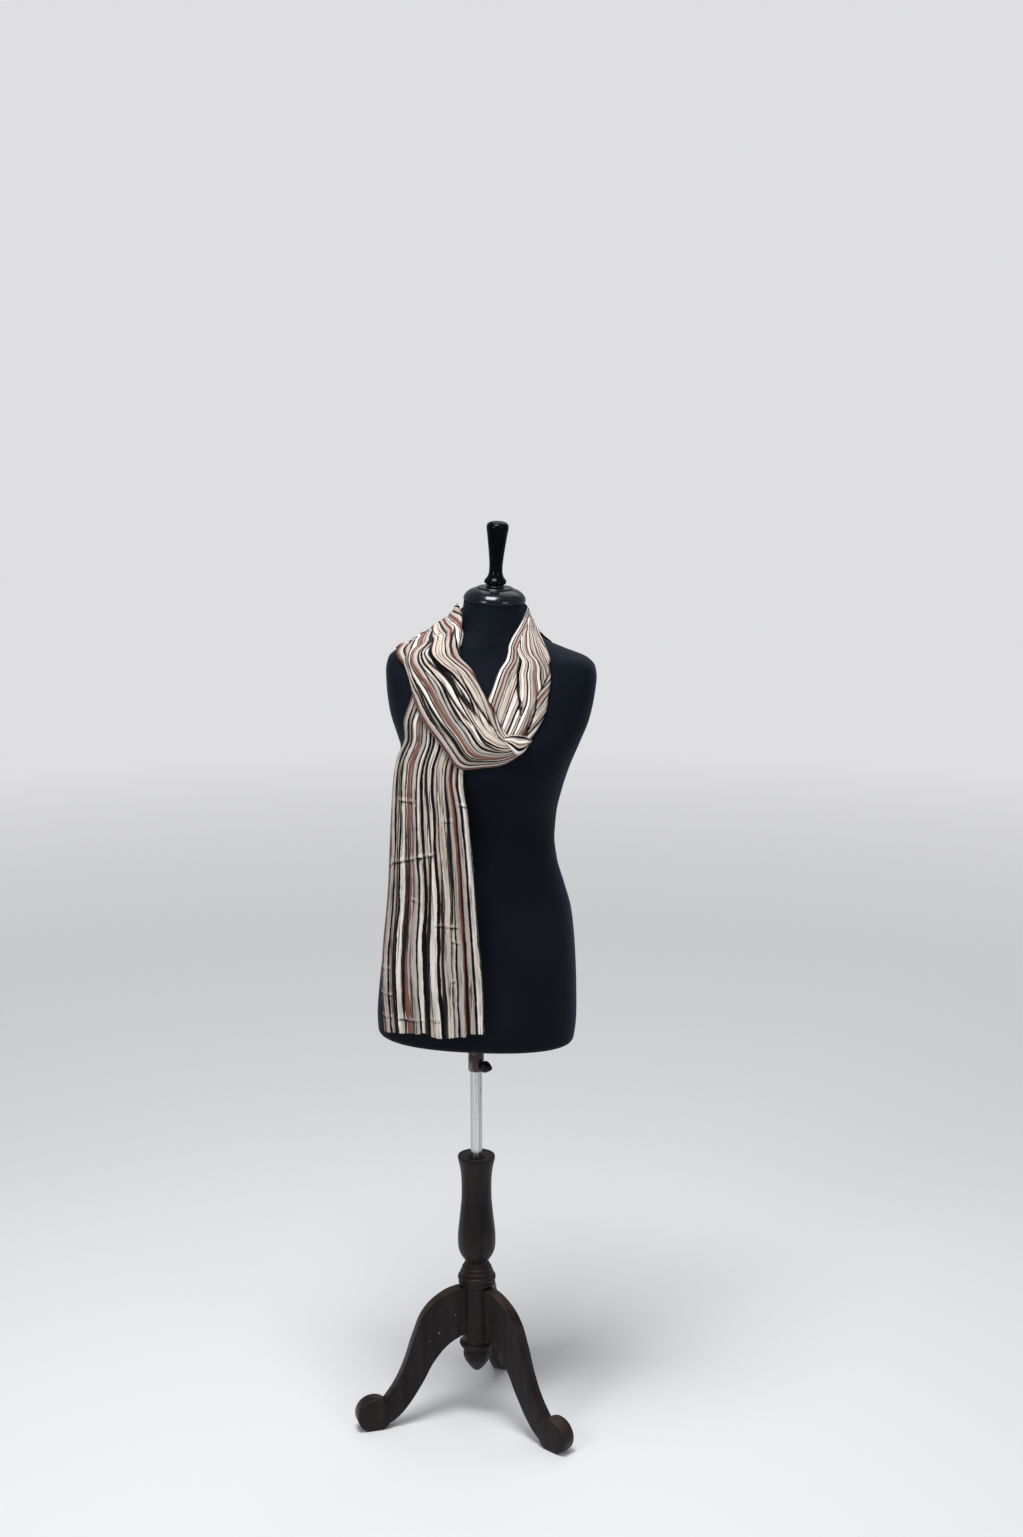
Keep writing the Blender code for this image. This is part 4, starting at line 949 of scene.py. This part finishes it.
def neighbours(values, reach, axis):
    """The values moved along an axis by each number of cells within a reach."""
    size = values.shape[axis]
    padded = np.pad(values, [(reach, reach) if a == axis else (0, 0) for a in (0, 1)], mode="edge")
    return [np.take(padded, range(step, step + size), axis=axis) for step in range(2 * reach + 1)]


def spread(values, reach):
    """Largest value within a reach of cells."""
    for axis in (0, 1):
        values = np.max(neighbours(values, reach, axis), axis=0)
    return values


def smoothed(values, reach, rounds=2, axes=(0, 1)):
    """Running mean over a reach of cells, both ways or along one."""
    for _ in range(rounds):
        for axis in axes:
            values = np.mean(neighbours(values, reach, axis), axis=0)
    return values


def cover_height(trees, points, normals):
    """How high what lies under each point stands above it, along its direction."""
    heights = np.zeros(points.shape[:2])
    for row in range(points.shape[0]):
        for column in range(points.shape[1]):
            normal = Vector(normals[row, column])
            start = Vector(points[row, column]) - normal * COVER_REACH
            for tree in trees:
                _, _, _, distance = tree.ray_cast(start, normal, 3 * COVER_REACH)
                if distance is not None:
                    heights[row, column] = max(heights[row, column], distance - COVER_REACH)
    return heights


class Stretch:
    """A stretch of the cloth on the form: places on its surface, and the folds laid on them."""

    def __init__(self, sections, rows, columns, steps, sway, salt):
        centres = np.array([surface_points(sections, *(np.mean(row, axis=0)[part] for part in (0, 1)))
                            for row in rows])
        places = np.concatenate(([0], np.cumsum(np.linalg.norm(np.diff(centres, axis=0), axis=1))))
        self.length = places[-1]
        self.across, self.along = np.meshgrid(np.linspace(0, 1, columns + 1), np.linspace(0, 1, steps + 1))
        line = np.linspace(0, 1, LINE_STEPS)
        sides = [[read_curve(places, [row[side][part] for row in rows], self.along[:, 0] * self.length)
                  for part in (0, 1)] for side in (0, 1)]

        def between(part, share):
            return sides[0][part][:, None] + (sides[1][part] - sides[0][part])[:, None] * share

        track = surface_points(sections, between(0, line), between(1, line))
        lengths = np.cumsum(np.linalg.norm(np.diff(track, axis=1), axis=-1), axis=1)
        lengths = np.insert(lengths, 0, 0, axis=1)
        even = np.array([np.interp(share * length[-1], length, line)
                         for share, length in zip(self.across, lengths)])
        even = smoothed(even, 12, axes=(0,))
        self.points = surface_points(sections, between(0, even), between(1, even))
        self.normals = surface_normals(sections, between(0, even), between(1, even))
        self.sideways = unit(np.gradient(self.points, axis=1))
        self.salt = salt
        drift = soft_noise(self.across * 5, self.along * self.length * 14, salt)
        drift += 0.5 * soft_noise(self.across * 11, self.along * self.length * 37, salt + 1)
        self.inset = np.sqrt(np.sin(math.pi * self.across).clip(0))
        self.clear = ramp(np.minimum(self.across, 1 - self.across), 0.0, HEM_ROLL)
        self.weft = self.across + sway * drift * self.inset
        self.stripe = self.weft.copy()
        self.lift = np.zeros_like(self.across)
        self.shade = np.zeros_like(self.across)

    def noise(self, across_size, along_size, salt):
        """Smooth noise from -1 to 1 with features of the given sizes in metres."""
        return soft_noise(self.stripe * CLOTH_WIDTH / across_size, self.along * self.length / along_size,
                          self.salt + salt)

    def add_pleats(self, height, blur):
        """Rounded folds that part along the cloth's dark stripes, softened over some grid cells."""
        borders = [0.0, *DARK_LINES, 1.0]
        borders += [low + (high - low) / 2 for low, high in zip(borders[1:], borders[2:])
                    if high - low > WIDEST_PLEAT]
        borders.sort()
        folds = np.zeros_like(self.across)
        cell = 1 / (self.across.shape[1] - 1)
        for index, (low, high) in enumerate(zip(borders, borders[1:])):
            swell = soft_noise(0 * folds + index * 3.7, self.along * self.length * 9, self.salt)
            size = min(1.0, (high - low) / 0.06) * (0.65 + 0.35 * uneven(index, self.salt + 3))
            for step in PLEAT_SAMPLES:
                part = np.clip((np.mod(self.stripe + step * blur * cell, 1) - low) / (high - low), 0, 1)
                folds += (height * size * (0.75 + 0.35 * swell) * np.sin(math.pi * part) ** PLEAT_SHARPNESS
                          / len(PLEAT_SAMPLES))
        self.lift += folds * self.clear

    def add_laps(self, laps):
        """Layers folded over the rest, with a raised edge, a painted shadow at its foot, and stripes that run
        their own way.
        """
        for lap in laps:
            line = read_curve(*zip(*lap.edge), self.along)
            shift = read_curve(*zip(*lap.shift), self.along)
            over = (self.across - line) * lap.side * CLOTH_WIDTH
            shown = within(self.along, (lap.start, lap.start + LAP_EASE), (lap.end - LAP_EASE, lap.end))
            self.lift += lap.height * shown * ramp(over, -0.0004, 0.0016)
            # Painted shadow in a narrow band along the foot of the raised edge
            self.shade += 0.8 * shown * np.exp(-((over + 0.0022) / 0.0018) ** 2)
            self.stripe = np.where(over > 0, self.weft + shift, self.stripe)

    def add_creases(self, creases):
        """Short ridges across the cloth, with a trough below each, a painted highlight on each ridge and
        painted shade in each trough.
        """
        for crease in creases:
            middle = crease.along + crease.rise * (self.weft - crease.start) / (crease.end - crease.start)
            middle += 0.0015 * self.noise(0.012, 1.0, 30)
            away = (self.along - middle) * self.length / CREASE_SIZE
            inside = within(self.weft, (crease.start - 0.01, crease.start + 0.02),
                            (crease.end - 0.02, crease.end + 0.01))
            self.lift += crease.height * inside * (np.exp(-away ** 2) - 0.8 * np.exp(-(away - 1.6) ** 2))
            # Painted shade in the trough, and a painted highlight on the ridge as shade below 0
            self.shade += inside * (0.22 * np.exp(-(away - 1.6) ** 2) - 0.55 * np.exp(-away ** 2))

    def add_valleys(self, valleys):
        """Deep folds along the cloth, that open to its end or close again before it, with painted shade down
        each.
        """
        for valley in valleys:
            share = np.clip((self.along - valley.start) / (valley.end - valley.start), 0, 1)
            middle = valley.place + (valley.end_place - valley.place) * share
            inside = within(self.along, (valley.start - 0.02, valley.start + 0.04),
                            (valley.end - 0.03, valley.end + 0.01))
            opening = share if valley.end > 1 else np.sin(math.pi * share)
            away = (self.across - middle) * CLOTH_WIDTH / (valley.width * (0.4 + 0.8 * opening))
            self.lift -= valley.depth * inside * np.exp(-away ** 2)
            # Painted shade down the middle of the fold
            self.shade += 1.1 * inside * np.exp(-(away / 0.8) ** 4)

    def lay(self, name, nodes, under, hollow_depth=0.0019):
        """Raise the cloth off what lies under it, and make its piece."""
        lean = 0.0016 * self.noise(0.016, 0.07, 20) * self.inset
        cover = cover_height(under, self.points, self.normals) if under else 0 * self.lift
        cover = smoothed(spread(cover, 6), 5)
        lift = smoothed(np.maximum(self.lift, 0), 1, 1) + cover + CLOTH_GAP
        raised = self.points + self.normals * lift[..., None] + self.sideways * lean[..., None]
        # Painted shade in the hollows between folds, from how far each place lies below its surroundings,
        # full at hollow_depth; it adds to the painted shade and highlight of laps, valleys and creases
        hollow_shade = np.clip((smoothed(self.lift, 5) - self.lift) / hollow_depth, 0, 1)
        shade = np.clip(hollow_shade + self.shade, -1, 1)
        cloth = np.stack((self.stripe * CLOTH_WIDTH, self.along * self.length), axis=-1)
        shape = grid_shape(raised, cloth, shade)
        piece = finish_piece(name, shape, CHIFFON, "form", nodes, FORM_PLACE, sharp=180)
        wall = piece.modifiers.new("Thickness", "SOLIDIFY")
        wall.thickness = CLOTH_THICKNESS
        wall.offset = 1.0
        return piece, tree_of(raised + self.normals * CLOTH_THICKNESS)


def hang_surface(hang):
    return hang + [section for section in FORM_SECTIONS if section.height > hang[-1].height]


def edge_rows(edges, place):
    """Rows across the cloth, from the distances and heights of its two edges."""
    return [Row(place(edge.outer, edge.outer_height), place(edge.inner, edge.inner_height))
            for edge in edges]


def crinkle(stretch, amount):
    """Fine lengthwise wrinkles of the thin cloth."""
    stretch.lift += amount * stretch.clear * (stretch.noise(0.007, 0.050, 1)
                                              + 0.5 * stretch.noise(0.004, 0.014, 2))


def build_stole(form):
    front_surface = hang_surface(FRONT_HANG)
    back_surface = hang_surface(BACK_HANG)

    on_front = partial(front, sections=front_surface)
    tail = Stretch(front_surface, [TAIL_TOP, *edge_rows(TAIL_EDGES, on_front)],
                   columns=138, steps=330, sway=0.010, salt=1)
    tail.add_pleats(height=0.0062, blur=0.8)
    # Flatter folds under the band, and all of it held off the form
    tail.lift *= 0.35 + 0.65 * ramp(tail.along, 0.0, 0.2)
    tail.lift += 0.0030
    crinkle(tail, 0.0008)
    tail.add_valleys(TAIL_VALLEYS)
    tail.add_creases(TAIL_CREASES)
    # An uneven hem, lower across its middle
    hem_drop = 0.0035 * tail.noise(0.030, 5.0, 6) - 0.006 * within(tail.weft, (0.43, 0.47), (0.83, 0.86))
    tail.points[..., 2] += hem_drop * ramp(tail.along, 0.94, 1.0)
    tail_piece, tail_tree = tail.lay("draped_front_tail", ["stole_front_tail"], [])

    wrap = Stretch(FORM_SECTIONS, [*WRAP_ROWS, *edge_rows(DROP_EDGES, front_again)],
                   columns=118, steps=330, sway=0.004, salt=2)
    wrap.add_laps(DROP_LAPS)
    wrap.add_pleats(height=0.0044, blur=2.2)
    # Flatter folds at its end, and a body that is fullest along the middle
    wrap.lift *= 1 - 0.5 * ramp(wrap.along, 0.88, 1.0)
    wrap.lift += 0.0035 * np.sin(math.pi * wrap.across) + 0.0020
    crinkle(wrap, 0.0004)
    wrap.add_valleys(DROP_VALLEYS)
    wrap_piece, wrap_tree = wrap.lay("draped_neck_wrap", ["stole_neck_wrap", "stole_right_drop"], [],
                                     hollow_depth=0.0010)

    on_back = partial(back, sections=back_surface)
    band_rows = [*edge_rows(BAND_FRONT_EDGES, front), SHOULDER_ROW, *edge_rows(BAND_BACK_EDGES, on_back)]
    band = Stretch(back_surface, band_rows, columns=118, steps=400, sway=0.004, salt=4)
    band.add_laps(BAND_LAPS)
    band.add_pleats(height=0.0044, blur=2.2)
    # Flatter folds at its start, and fullest along the middle as far as the shoulder
    band.lift *= ramp(band.along, -0.1, 0.15)
    band.lift += 0.0040 * np.sin(math.pi * band.across) * (1 - ramp(band.along, 0.40, 0.6)) + 0.0020
    crinkle(band, 0.0004)
    band.add_valleys(BAND_VALLEYS)
    band.add_creases(BACK_CREASES)
    band.points[..., 2] += 0.0040 * band.noise(0.030, 5.0, 6) * ramp(band.along, 0.95, 1.0)
    band_piece, band_tree = band.lay("draped_front_band", ["stole_front_band", "stole_back_tail"],
                                     [tail_tree, wrap_tree], hollow_depth=0.0010)

    end = Stretch(FORM_SECTIONS, edge_rows(TURNED_OVER_EDGES, front), columns=40, steps=60, sway=0.0, salt=5)
    # Four small folds, in the stripes of one part of the cloth
    end.lift += 0.0016 * np.sin(math.pi * 4 * end.across) ** 2 * np.sin(math.pi * end.along)
    end.stripe = 0.42 + 0.22 * end.across
    end_piece, _ = end.lay("turned_over_end", [], [band_tree, wrap_tree, tail_tree])


# Room

LIT_PLACE = Vector((0, 0, 1.3))
FLOOR_RADIUS = 7.0
# The photo's height and the camera's focal length, in pixels
PHOTO_HEIGHT = 1537
FOCAL_LENGTH = 2500
SENSOR_HEIGHT = 24.0
CAMERA_PLACE = (POLE_X + 0.0645, POLE_Y - 4.307, 2.276)
CAMERA_TILT = 13.4


def build_room():
    shape = bmesh.new()
    bmesh.ops.create_circle(shape, cap_ends=True, segments=96, radius=FLOOR_RADIUS)
    mesh = bpy.data.meshes.new("studio_floor")
    shape.to_mesh(mesh)
    shape.free()
    material, graph, shader = new_material("studio_floor", (0.74, 0.74, 0.75), Roughness=0.9)
    place = graph.object_place()
    far = graph.add("VectorMath", operation="LENGTH")
    graph.join(place, far.inputs[0])
    graph.join(graph.remap(far.outputs["Value"], 1.2, 5.5, 1.0, 0.0), shader.inputs["Alpha"])
    mesh.materials.append(material)
    add_object("studio_floor", mesh)

    world = bpy.data.worlds.new("studio")
    world.use_nodes = True
    graph = Graph(world.node_tree)
    seen = graph.add("LightPath").outputs["Is Camera Ray"]
    light = world.node_tree.nodes["Background"].inputs
    graph.feed(light["Color"], graph.mix(seen, (0.33, 0.34, 0.36, 1), (0.735, 0.735, 0.75, 1)))
    bpy.context.scene.world = world

    for lamp in (Lamp("key", Vector((-0.22, -0.75, 3.7)), 1.1, 98),
                 Lamp("side", Vector((-1.9, -2.4, 2.2)), 0.9, 22),
                 Lamp("fill", Vector((2.4, -2.8, 2.2)), 1.2, 18),
                 Lamp("back", Vector((0.6, 1.9, 3.8)), 2.4, 18)):
        light = bpy.data.lights.new(lamp.name, "AREA")
        light.shape = "SQUARE"
        light.size = lamp.size
        light.energy = lamp.power
        hung = add_object(lamp.name, light)
        hung.location = lamp.place
        hung.rotation_euler = (LIT_PLACE - lamp.place).to_track_quat("-Z", "Y").to_euler()


def build_camera():
    """Camera that sees the whole photo, from above the neck and tilted down."""
    camera = bpy.data.cameras.new("photo_camera")
    camera.sensor_fit = "VERTICAL"
    camera.sensor_height = SENSOR_HEIGHT
    camera.lens = SENSOR_HEIGHT * FOCAL_LENGTH / PHOTO_HEIGHT
    viewer = add_object("photo_camera", camera)
    viewer.location = CAMERA_PLACE
    viewer.rotation_euler = (math.radians(90 - CAMERA_TILT), 0, 0)
    bpy.context.scene.camera = viewer


bpy.context.scene.view_settings.view_transform = "Standard"
build_camera()
build_room()
build_stand()
build_stole(build_form())
